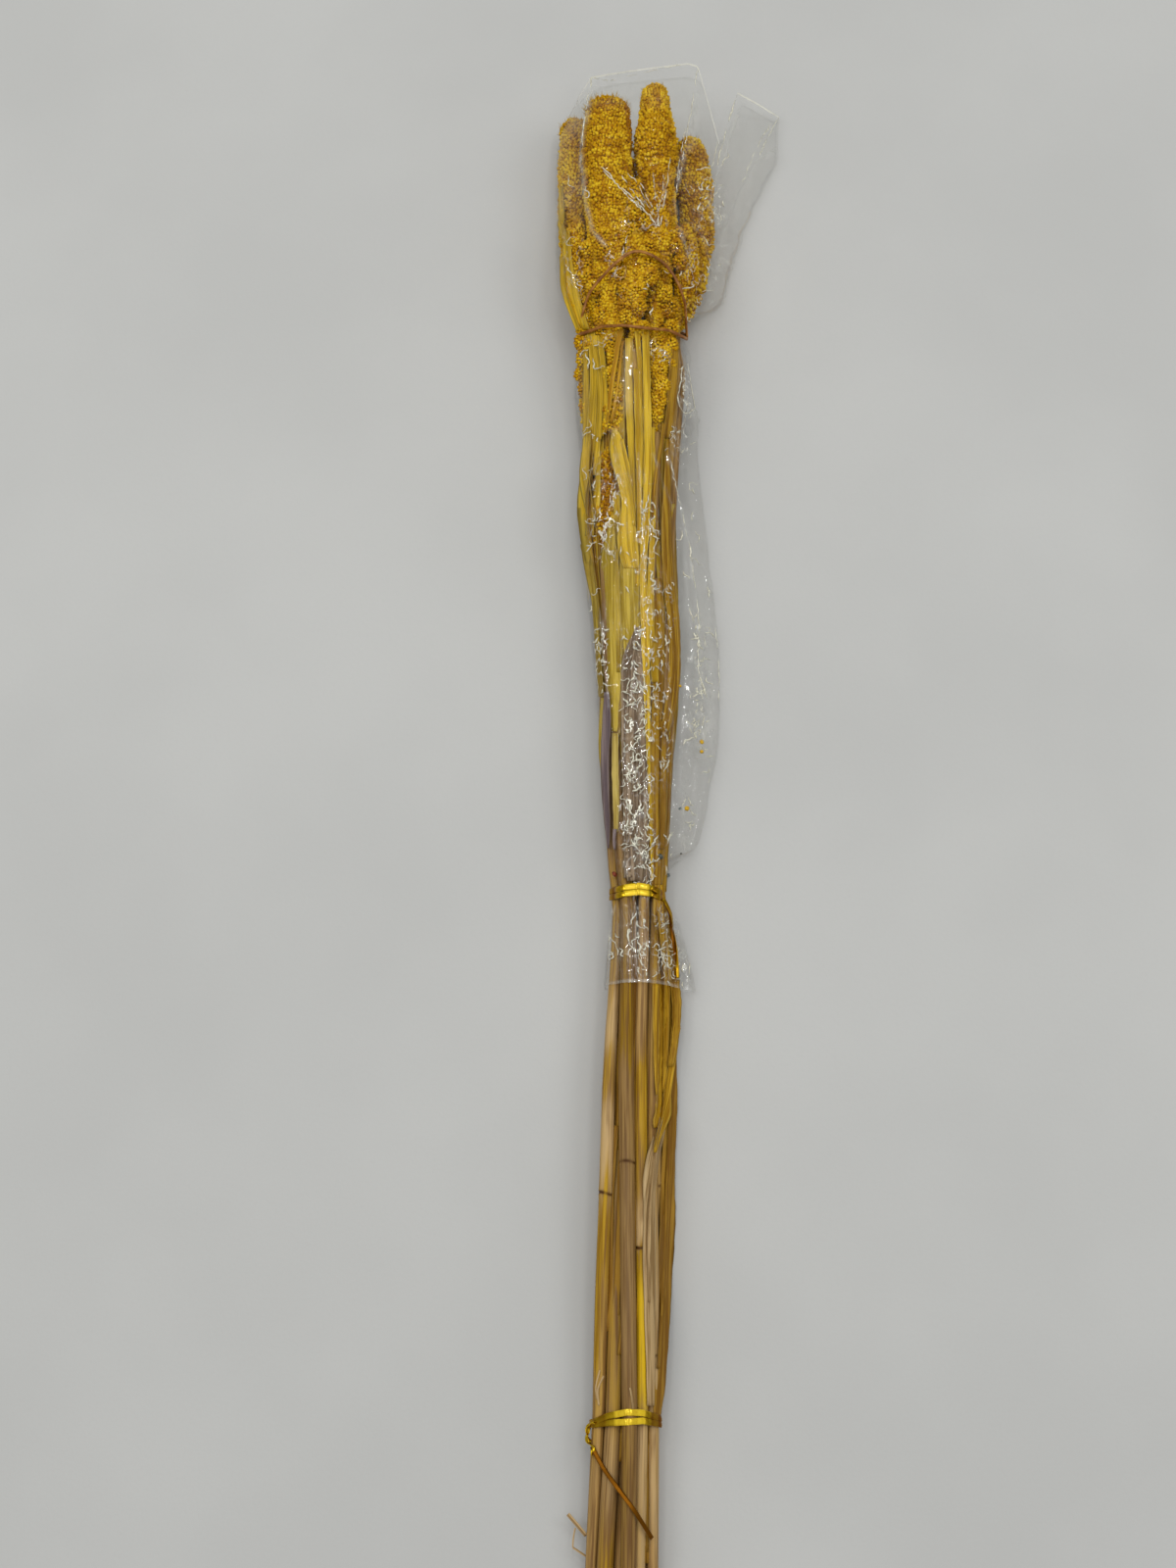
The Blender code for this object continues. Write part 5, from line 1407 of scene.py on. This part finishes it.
    # Where it is finely crinkled, with painted glint lines
    crinkle = np.zeros((rows, columns))
    ragged = 3.0 * noise(u / 6, v / 9, 0, 97)
    for left, top, right, bottom, share in CRINKLED:
        across = (u + ragged - (left + right) / 2) / (right - left) * 2
        down = (v + 2 * ragged - (top + bottom) / 2) / (bottom - top) * 2
        crinkle = np.maximum(crinkle, share * np.exp(-across ** 4 - down ** 4) * upper)
    milk = milk * (0.75 + 0.5 * noise(x / 6, y / 14, 0, 93)) * upper
    strength = np.where(upper, 1.0, 0.3)
    made = mesh_piece("clear_sleeve", net.reshape(-1, 3), wrap_faces(rows, columns)[:, ::-1], finish,
                      {"milk": np.clip(milk, 0, 1).ravel(), "crease": (np.clip(crease, 0, 1) * strength).ravel(),
                       "crinkle": crinkle.ravel()})
    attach(made, "root")
    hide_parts("film_sleeve")
    return made, net, level


# Folds painted bright as glints: (left u, top v, right u, bottom v, how many, length in mm, lean in degrees)
FOLD_PATCHES = [
    (712, 180, 738, 225, 24, 4.0, 20), (725, 112, 752, 185, 7, 10.0, 25), (640, 240, 700, 325, 7, 4.0, 10),
    (700, 240, 735, 330, 12, 6.0, 25), (574, 150, 598, 300, 8, 8.0, 0), (604, 340, 625, 352, 9, 3.0, 70),
    (664, 354, 680, 368, 9, 2.5, 45), (695, 370, 713, 424, 28, 4.0, 0), (606, 440, 620, 448, 6, 2.5, 80),
    (682, 435, 704, 462, 16, 4.0, 60), (606, 478, 634, 562, 52, 4.0, 22), (653, 508, 670, 545, 26, 3.0, 40),
    (655, 545, 668, 590, 14, 5.0, 0), (628, 560, 650, 600, 6, 4.0, 60), (690, 440, 722, 600, 16, 7.0, -8),
    (653, 590, 686, 645, 34, 4.0, 30), (609, 640, 621, 712, 34, 3.0, 0), (708, 625, 722, 735, 44, 5.0, 0),
    (698, 730, 722, 760, 10, 5.0, 50), (634, 640, 662, 700, 30, 4.0, 20), (635, 690, 664, 862, 170, 5.0, 10),
    (655, 640, 684, 780, 74, 4.0, 20), (664, 840, 690, 900, 10, 5.0, 0), (648, 850, 668, 900, 46, 3.5, 10),
    (640, 930, 652, 975, 14, 4.0, 20), (650, 935, 660, 1008, 34, 4.0, 5), (668, 930, 688, 1003, 46, 5.0, 10),
    (690, 960, 708, 1008, 14, 6.0, -5), (619, 945, 632, 1003, 12, 7.0, 15), (715, 760, 726, 800, 6, 5.0, 10),
    (690, 800, 712, 890, 12, 5.0, 15), (596, 350, 606, 640, 24, 8.0, 0),
]
# Long folds painted bright as glints, as lines of places and a width
LONG_FOLDS = [
    ([(613, 170), (622, 178), (628, 187), (640, 196), (655, 212), (669, 228)], 0.5),
    ([(615, 174), (624, 183), (632, 191), (644, 203), (657, 216)], 0.35),
    ([(634, 178), (642, 190), (652, 204), (662, 218), (670, 230)], 0.45),
    ([(640, 176), (651, 188), (658, 203), (666, 220)], 0.3),
    ([(654, 186), (660, 200), (667, 216), (672, 231)], 0.4),
    ([(666, 176), (668, 196), (671, 214), (673, 232)], 0.4),
    ([(684, 160), (681, 182), (678, 206), (674, 230)], 0.35),
    ([(677, 178), (676, 196), (673, 214)], 0.3),
    ([(636, 196), (644, 204), (652, 209), (664, 221)], 0.3),
    ([(697, 372), (694, 392), (693, 410), (699, 422), (708, 418), (711, 402), (708, 384), (702, 372)], 0.5),
    ([(662, 505), (659, 520), (664, 534), (670, 546), (666, 566)], 0.4),
    ([(640, 240), (634, 262), (627, 280)], 0.3),
    ([(700, 130), (694, 160), (690, 196)], 0.3),
    ([(741, 112), (731, 150), (724, 186)], 0.3),
    ([(786, 126), (770, 156), (758, 186)], 0.3),
    ([(650, 930), (641, 950), (643, 962), (650, 952)], 0.5),
    ([(703, 620), (712, 650), (714, 690), (722, 712)], 0.5),
    ([(699, 736), (711, 740), (724, 735)], 0.45),
    ([(703, 742), (711, 752), (715, 744)], 0.4),
    ([(684, 470), (690, 497), (696, 522), (701, 548)], 0.35),
    ([(703, 552), (707, 578), (710, 603), (713, 628), (713, 655)], 0.4),
    ([(604, 78), (601, 96), (597, 118), (594, 142), (594, 160)], 0.5),
    ([(712, 66), (709, 90), (705, 114), (701, 136)], 0.4),
    ([(701, 136), (697, 160), (692, 184)], 0.35),
    ([(752, 93), (746, 116), (740, 136), (735, 156), (730, 175)], 0.5),
    ([(754, 92), (770, 100), (784, 110), (795, 118)], 0.35),
    ([(795, 119), (786, 135), (775, 158)], 0.35),
    ([(602, 78), (615, 81), (630, 82)], 0.3),
    ([(640, 78), (660, 73), (682, 68), (702, 65)], 0.3),
    ([(704, 350), (712, 366), (717, 392), (720, 420)], 0.3),
    ([(730, 640), (734, 690), (732, 720)], 0.3),
]


# Finely crinkled places, where glint lines are painted: (left u, top v, right u, bottom v, share)
CRINKLED = [
    (633, 690, 665, 905, 0.95), (654, 640, 684, 790, 0.85), (652, 590, 688, 648, 0.6), (604, 476, 636, 564, 0.9),
    (607, 640, 622, 714, 0.8), (634, 640, 664, 700, 0.7), (706, 622, 723, 738, 0.7), (646, 845, 670, 906, 0.9),
    (636, 928, 662, 1010, 0.7), (666, 926, 690, 1004, 0.8), (690, 950, 710, 1010, 0.5), (694, 366, 714, 426, 0.8),
    (700, 176, 740, 232, 0.8), (652, 504, 672, 590, 0.7), (700, 250, 732, 330, 0.6), (574, 230, 596, 300, 0.4),
    (682, 430, 706, 466, 0.7), (596, 340, 626, 352, 0.5), (662, 350, 682, 370, 0.7), (696, 640, 724, 790, 0.35),
    (686, 800, 708, 890, 0.4), (640, 196, 690, 240, 0.5), (618, 236, 640, 300, 0.35),
]


def put_fold(heap, line, width, rng):
    """Put a three-sided ridge along a line of points on a heap, thin at its ends."""
    count = len(line)
    along = unit(np.gradient(line, axis=0))
    side = unit(np.cross(along, np.array([0.0, 0.0, 1.0])))
    up = np.cross(side, along)
    share = np.sin(np.linspace(0.12, math.pi - 0.12, count)) ** 0.6
    half = (width / 2 * share * rng.uniform(0.75, 1.25, count))[:, None]
    tall = (0.30 * width * share)[:, None]
    points = np.stack([line - side * half - up * 0.08, line + side * half - up * 0.08, line + up * tall], axis=1)
    ends = np.array([(0, 1, 2), (3 * count - 1, 3 * count - 2, 3 * count - 3)])
    heap.put(points.reshape(-1, 3), [wrap_faces(count, 3)[:, ::-1], ends], crease=1.0, milk=1.0)


def sharp_folds(sleeve_tree, finish):
    """The creases of the film, as ridges on it, painted bright as glints."""
    rng = np.random.default_rng(31)
    heap = Heap()
    for places, width in LONG_FOLDS:
        stops = route(places, 30)
        line = [sight(sleeve_tree, u, v, 0.05) for u, v in stops + rng.normal(0, 0.45, stops.shape)]
        line = [p for p in line if p is not None]
        start = 0
        while start < len(line) - 3:
            end = start + int(rng.integers(5, 11))
            if len(line[start:end]) > 3:
                put_fold(heap, np.array(line[start:end]), width * rng.uniform(0.9, 1.7), rng)
            start = end + int(rng.integers(-2, 3))
    for left, top, right, bottom, count, long, lean in FOLD_PATCHES:
        for _ in range(int(0.6 * count) + 1):
            place = np.array([rng.uniform(left, right), rng.uniform(top, bottom)])
            turn = math.radians(lean) * rng.choice([-1, 1]) + rng.normal(0, 0.35)
            line = []
            steps = max(4, int(long * rng.uniform(0.5, 1.4) / 0.7))
            for _ in range(steps):
                hit = sight(sleeve_tree, place[0], place[1], 0.05)
                if hit is None or (line and np.linalg.norm(hit - line[-1]) > 3.0):
                    break
                line.append(hit)
                turn += rng.normal(0, 0.65) - 0.15 * turn
                place = place + 1.7 * np.array([math.sin(turn), math.cos(turn)])
            if len(line) > 3:
                put_fold(heap, np.array(line), rng.uniform(0.35, 0.85), rng)
    made = heap.piece("sleeve_folds_painted_glints", finish)
    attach(made, "root")
    return made


# Band and ties

def offset(outline, gap):
    """A closed outline in x and z moved outwards."""
    middle = (outline.min(axis=0) + outline.max(axis=0)) / 2
    along = unit(np.roll(outline, -1, axis=0) - np.roll(outline, 1, axis=0))
    out = np.stack([along[:, 1], -along[:, 0]], axis=1)
    out *= np.sign(((outline - middle) * out).sum(axis=1))[:, None]
    return outline + out * gap


def smooth_loop(points, count):
    """A closed line through points, evenly spaced and rounded."""
    even = resample(np.concatenate([points, points[:1]]), count + 1)[:-1]
    for _ in range(4):
        even = (np.roll(even, 1, axis=0) + 2 * even + np.roll(even, -1, axis=0)) / 4
    return even


def turned_round(points):
    """Outward and sideways directions along a closed line round the bunch."""
    ahead = unit(np.roll(points, -1, axis=0) - np.roll(points, 1, axis=0))
    out = points - points.mean(axis=0)
    out[:, 1] = 0
    out = unit(out - (out * ahead).sum(axis=1)[:, None] * ahead)
    return out, np.cross(ahead, out)


def closed_faces(rows, columns):
    """The quads of a tube whose last ring joins its first."""
    j = np.arange(columns)
    start = (rows - 1) * columns
    closing = np.stack([start + j, start + (j + 1) % columns, (j + 1) % columns, j], axis=1)
    return np.concatenate([wrap_faces(rows, columns), closing])


def rubber_band(net, level, sleeve_tree, finish):
    """The band: a tight turn, and a turn whose upper half stands up as a loose arch."""
    radius = 0.75
    row = net[int(np.argmin(np.abs(level - BAND_Y)))]
    flat = offset(row[:, [0, 2]], radius + 0.2)
    tight = onto_row(np.stack([flat[:, 0], np.full(len(flat), BAND_Y), flat[:, 1]], axis=1), BAND_SEEN)
    over, under = tight[:OVER][::-1], tight[OVER:]
    low = [np.array([under[k][0], under[k][1] + 1.7, under[k][2]]) for k in range(len(under))][::-1]
    arch = [sight(sleeve_tree, u, v, 0.0) for u, v in route(LOOP_SEEN, 40)]
    share = np.linspace(-1, 1, len(arch))
    arch = [p + np.array([0, 0, 1.0]) * (1.0 + 1.2 * (1 - s * s)) for p, s in zip(arch, share) if p is not None]
    line = np.concatenate([over, low, arch, under[::-1]])
    line = smooth_loop(line, 480)
    line[:, 2] = np.maximum(line[:, 2], 0.9)
    out, side = turned_round(line)
    angle = np.linspace(0, 2 * math.pi, 10, endpoint=False)
    spin = 0.8 * out[:, None] * np.cos(angle)[None, :, None] + side[:, None] * np.sin(angle)[None, :, None]
    made = mesh_piece("rubber_band_wound", (line[:, None] + radius * spin).reshape(-1, 3),
                      closed_faces(len(line), 10), finish)
    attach(made, "root")
    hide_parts("rubber_band")
    return made


def flat_loop(points, width, thick, dents):
    """A closed flat strip round a loop of points, with its face outwards."""
    out, side = turned_round(points)
    columns = 7
    t = np.linspace(-1, 1, columns)
    count = len(points)
    place = np.arange(count)[:, None]
    crown = 0.16 * (1 - t[None] ** 2) + 0.10 * noise(place / 6.0, t[None] * 1.5, 0, 95)
    for at, deep in dents:
        crown = crown + 0.5 * deep * np.exp(-((place - at) / 1.1) ** 2)
    edge = points[:, None] + (t[None] * width / 2)[..., None] * side[:, None]
    top = edge + (crown + thick)[..., None] * out[:, None]
    loop = np.concatenate([top, edge[:, ::-1]], axis=1)
    return loop.reshape(-1, 3), closed_faces(count, 2 * columns)


def spun_strip(line, width, thick, twist, start_turn):
    """An open flat strip along a line, turning about it by twist radians."""
    line = np.asarray(line, float)
    ahead = unit(np.gradient(line, axis=0))
    up = unit(np.array([0.0, 0.0, 1.0]) - ahead * ahead[:, 2:3])
    side = np.cross(ahead, up)
    angle = (start_turn + twist * np.linspace(0, 1, len(line)))[:, None]
    turned = side * np.cos(angle) + up * np.sin(angle)
    shape = strip_shape(line, turned, np.cross(turned, ahead), width, thick, 0.0, 0.0, 1.0, 5, 5)
    return shape[0], shape[1]


def tie(name, node, outline, level, seen, seams, shaded_sides, extras, finish):
    """A tie: two flat turns, each seen on its own row, with painted shade on their sides, and its loose ends, browned
    by wear.
    """
    heap = Heap()
    ring_line = smooth_loop(outline, 200)
    for row in seen:
        points = np.stack([ring_line[:, 0], np.full(len(ring_line), level), ring_line[:, 1]], axis=1)
        points = onto_row(points, row)
        hidden = 999.0 * (points[:, 2] < points[:, 2].mean())
        dents = [(int(np.argmin(np.abs(place_of(points)[0] - at) + hidden)), deep) for at, deep in seams]
        shape = flat_loop(points, 2.5, 0.16, dents)
        # Its sides are painted darker and duller than the top, as shade
        flank = np.interp(place_of(points)[0], shaded_sides, [0.9, 0.55, 0.0, 0.0, 0.6, 0.95])
        flank = np.clip(flank + 0.22 * noise(np.arange(len(points)) / 4.0, 0, 0, 96), 0, 1)
        heap.put(*shape, worn=np.repeat(flank, len(shape[0]) // len(points)))
    for (points, faces), worn in extras:
        heap.put(points, faces, worn=worn)
    made = heap.piece(name, finish)
    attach(made, "root")
    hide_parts(node)
    return made


def laid(tree, places, lift, count):
    """A smooth line over what is seen along a line of places."""
    line = [sight(tree, u, v, lift) for u, v in route(places, 30)]
    line = np.array([p for p in line if p is not None])
    for _ in range(6):
        line[1:-1, 2] = np.maximum(line[1:-1, 2], (line[:-2, 2] + line[2:, 2]) / 2)
    return route(line, count)


# Loose bits

def put_seed(heap, point, size, stretch, turn):
    spin = np.array([[math.cos(turn), -math.sin(turn), 0], [math.sin(turn), math.cos(turn), 0], [0, 0, 1]])
    heap.put(point + (BALL * np.array([1.0, stretch, 0.8]) * size / 2) @ spin.T, BALL_FACES, tint=0.7, depth=0.0)


# Fallen grains: (u, v, size in mm, length to width)
FALLEN = {"yellow": [(716, 757, 2.0, 1.2), (716, 767, 1.8, 1.1), (701, 825, 2.4, 1.0), (694, 700, 1.3, 1.2)],
          "dark": [(674, 874, 2.3, 1.3), (695, 871, 0.9, 1.1)],
          "grey": [(694, 825, 1.8, 0.7), (681, 893, 2.2, 1.2)],
          "red": [(627, 892, 2.0, 1.4)]}
# Frayed straw beside the stalks: (places, width)
FRAYED = [([(579.5, 1545), (588, 1555), (598, 1567)], 1.5), ([(587, 1559), (585, 1570), (584.5, 1579)], 0.6),
          ([(584.5, 1579), (592, 1584), (601, 1590)], 0.8), ([(616, 1404), (610, 1418), (611, 1434)], 0.7),
          ([(643, 1416), (645, 1428), (646, 1438)], 0.7), ([(612, 1398), (608, 1416), (609, 1428)], 0.6)]


# Build

straw = straw_finish()
grain_gold = grain_finish("millet_grain", (0.400, 0.165, 0.001), (0.660, 0.365, 0.002), (0.880, 0.600, 0.020))
bristle = bristle_finish()
PAINTS = {
    "leaf_yellow": leaf_finish("leaf_yellow", (0.460, 0.285, 0.010), (0.740, 0.480, 0.028), (0.800, 0.620, 0.120)),
    "leaf_bright": leaf_finish("leaf_bright", (0.460, 0.270, 0.008), (0.780, 0.520, 0.030), (0.840, 0.640, 0.120)),
    "leaf_deep": leaf_finish("leaf_deep", (0.400, 0.190, 0.003), (0.660, 0.370, 0.012), (0.700, 0.460, 0.060)),
    "leaf_beige": leaf_finish("leaf_beige", (0.150, 0.098, 0.055), (0.370, 0.270, 0.170), (0.460, 0.370, 0.250)),
    "leaf_pale": leaf_finish("leaf_pale", (0.360, 0.240, 0.040), (0.620, 0.470, 0.120), (0.720, 0.580, 0.220)),
    "leaf_honey": leaf_finish("leaf_honey", (0.330, 0.160, 0.004), (0.660, 0.390, 0.024), (0.700, 0.470, 0.080)),
    "leaf_olive": leaf_finish("leaf_olive", (0.340, 0.225, 0.012), (0.620, 0.445, 0.060), (0.700, 0.540, 0.140)),
    "leaf_ochre": leaf_finish("leaf_ochre", (0.250, 0.115, 0.004), (0.520, 0.300, 0.022), (0.600, 0.390, 0.070)),
    "leaf_blond": leaf_finish("leaf_blond", (0.290, 0.175, 0.065), (0.570, 0.390, 0.185), (0.680, 0.520, 0.290)),
    "leaf_brown": leaf_finish("leaf_brown", (0.230, 0.105, 0.008), (0.440, 0.240, 0.028), (0.420, 0.240, 0.040)),
    "leaf_mauve": leaf_finish("leaf_mauve", (0.160, 0.112, 0.118), (0.310, 0.235, 0.225), (0.380, 0.310, 0.270)),
}
SLOTS = {entry["node"]: entry["material_slot"] for entry in frame["record"]["subparts"]}
# Leaves with a paint of their own
PAINTED = {"leaf_edge_left": "leaf_olive", "leaf_pale_strand": "leaf_pale", "leaf_twisted_sheath": "leaf_honey"}

cover = Cover(bunch_circles())
inside = [stalk(number, straw) for number in range(1, 11)]
inside += [seed_head(number, grain_gold, bristle) for number in range(1, 11)]
inside.append(clusters(cover, grain_gold))
inside += [leaf(name, cover, PAINTS[PAINTED.get(name, SLOTS[name])]) for name in LEAVES]
inside.append(crumpled_sheath(cover, PAINTS["leaf_beige"]))
inside.append(packing(cover, PAINTS["leaf_ochre"], "straw_packing", 22, 300, -3.0))
inside.append(packing(cover, PAINTS["leaf_yellow"], "leaf_packing", 18, 400, -1.9))
# Brown strips sunk deep in the clefts of the lower stalks; their brown partly stands in for the shade in those clefts
inside.append(packing(cover, PAINTS["leaf_brown"], "under_straw", 26, 500, -5.0, (860, 1360), 1598))
contents = tree_of(inside)
sleeve, net, level = film(contents, film_finish())
sleeve_tree = tree_of([sleeve])
sharp_folds(sleeve_tree, fold_finish())
rubber_band(net, level, sleeve_tree, band_finish())

gold = gold_finish()
everything = tree_of(inside + [sleeve])
row = net[int(np.argmin(np.abs(level - TIE_UPPER_Y)))]
line = laid(everything, [(677, 917), (681, 924), (684.5, 933), (687, 949), (689.5, 966), (690.5, 980), (691.5, 998)],
            0.9, 70)
tails = [(spun_strip(line, 1.5, 0.2, 3.0, 0.3), 0.7),
         (spun_strip(line + np.array([-0.8, 0, 0.3]), 1.1, 0.2, 4.0, 1.2), 1.0)]
tie("gold_tie_by_sleeve", "gold_tie_upper", offset(row[:, [0, 2]], 0.12), TIE_UPPER_Y, TIE_UPPER_SEEN,
    ((649, -0.5), (651, 0.5), (637, -0.3), (664, -0.3)), (627, 635, 638, 661, 665, 680), tails, gold)

circles = bunch_circles()
circles[:, 3] *= FULLER
outline = ring(circles, 6.0, TIE_LOWER_Y, 0.3, 24)
knot = [(606, 1452, 2.0), (600, 1457, 0.6), (598.4, 1464, 0.4), (601, 1473, 1.0), (605, 1480, 1.8), (604, 1487, 1.4)]
knot = [cover.seen(np.array(u), np.array(v), lift) for u, v, lift in knot]
tail = np.array([(604, 1476), (615.6, 1498), (630.6, 1519), (647, 1541), (656, 1555), (665.5, 1570)])
tail = route(cover.seen(tail[:, 0], tail[:, 1], 1.3), 60)
tails = [(spun_strip(route(knot, 80), 1.9, 0.2, 11.0, 0.2), 0.35),
         (spun_strip(route(knot[:4], 50) + 0.5, 1.6, 0.2, -7.0, 0.9), 0.6),
         (spun_strip(tail, 1.7, 0.2, 0.3, 0.1), 1.0)]
tie("gold_tie_by_stalks", "gold_tie_lower", outline, TIE_LOWER_Y, TIE_LOWER_SEEN,
    ((639, 0.6), (641, -0.5), (630, -0.3), (657, -0.3)), (604, 626, 630, 657, 661, 674), tails, gold)

SEED_PAINTS = {"yellow": ((0.60, 0.33, 0.004), (0.80, 0.50, 0.02)), "dark": ((0.040, 0.040, 0.030), (0.12, 0.13, 0.10)),
               "grey": ((0.12, 0.15, 0.14), (0.28, 0.32, 0.30)), "red": ((0.12, 0.015, 0.004), (0.30, 0.05, 0.010))}
for tone, spots in FALLEN.items():
    heap = Heap()
    for k, (u, v, size, stretch) in enumerate(spots):
        point = sight(sleeve_tree, u, v, 0.2)
        point = at_height(u, v, 2.0) if point is None else point
        put_seed(heap, point, size, stretch, 0.6 + 1.1 * k)
    made = heap.piece("fallen_seeds_" + tone, seed_finish("fallen_" + tone, *SEED_PAINTS[tone]))
    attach(made, "root")
heap = Heap()
for k, (places, width) in enumerate(FRAYED):
    line = np.array([at_height(u, v, 6.0 if u < 602 else 22.0) for u, v in places])
    if places[0][0] > 602:
        line = np.array([sight(everything, u, v, 0.35) for u, v in places])
    line = route(line, 16)
    side = unit(np.cross(np.gradient(line, axis=0), np.array([0.0, 0.0, -1.0])))
    shape = strip_shape(line, side, unit(np.cross(side, -np.gradient(line, axis=0))), width, 0.2, 0.15, 0, 1, 5, 900 + k)
    heap.put(shape[0], shape[1], **shape[2])
made = heap.piece("frayed_straw", PAINTS["leaf_blond"])
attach(made, "root")


# Table, light and camera

def table():
    bpy.ops.mesh.primitive_plane_add(size=6.0, location=(0, 0, -0.0002))
    made = bpy.context.object
    made.name = "pale_table_top"
    made.data.materials.append(table_finish())


def lamp(name, size, power, spot, target=(0.0, 0.0, 0.0), mirrored=True):
    light = bpy.data.lights.new(name, "AREA")
    light.shape = "DISK"
    light.size = size
    light.energy = power
    made = bpy.data.objects.new(name, light)
    made.visible_glossy = mirrored
    made.location = spot
    made.rotation_euler = (Vector(target) - Vector(spot)).to_track_quat("-Z", "Y").to_euler()
    bpy.context.scene.collection.objects.link(made)


def studio():
    """A soft room, brighter overhead, with two wide lamps and small bright ones for the film's glints."""
    world = bpy.data.worlds.new("soft_room")
    bpy.context.scene.world = world
    world.use_nodes = True
    tree = world.node_tree
    spot = tree.nodes.new("ShaderNodeTexCoord")
    parts = tree.nodes.new("ShaderNodeSeparateXYZ")
    ramp = tree.nodes.new("ShaderNodeValToRGB")
    ramp.color_ramp.elements[0].color = (0.20, 0.20, 0.20, 1.0)
    ramp.color_ramp.elements[1].color = (1.60, 1.61, 1.62, 1.0)
    ramp.color_ramp.elements[1].position = 0.94
    middle = ramp.color_ramp.elements.new(0.88)
    middle.color = (0.80, 0.81, 0.82, 1.0)
    tree.links.new(spot.outputs["Generated"], parts.inputs[0])
    tree.links.new(parts.outputs["Z"], ramp.inputs["Fac"])
    tree.links.new(ramp.outputs["Color"], tree.nodes["Background"].inputs["Color"])
    tree.nodes["Background"].inputs["Strength"].default_value = 0.66
    lamp("soft_left", 0.7, 3.8, (-1.0, 0.25, 1.2), mirrored=False)
    lamp("soft_right", 0.7, 3.3, (1.05, 0.1, 1.2), mirrored=False)
    for k, (x, y) in enumerate(((-0.5, 0.62), (0.55, 0.5), (-0.42, 0.1), (0.4, 0.0), (0.05, 0.95), (0.0, 0.45))):
        lamp("glint_%d" % k, 0.07, 0.9, (x, y, 1.6))


def camera():
    lens = bpy.data.cameras.new("over_the_bunch")
    lens.lens = LENS
    made = bpy.data.objects.new("over_the_bunch", lens)
    made.location = Vector((SHIFT + EYE) * MM)
    made.rotation_euler = (CAMERA_TILT, 0.0, 0.0)
    bpy.context.scene.collection.objects.link(made)
    bpy.context.scene.camera = made


table()
studio()
camera()
bpy.context.scene.view_settings.view_transform = "Standard"
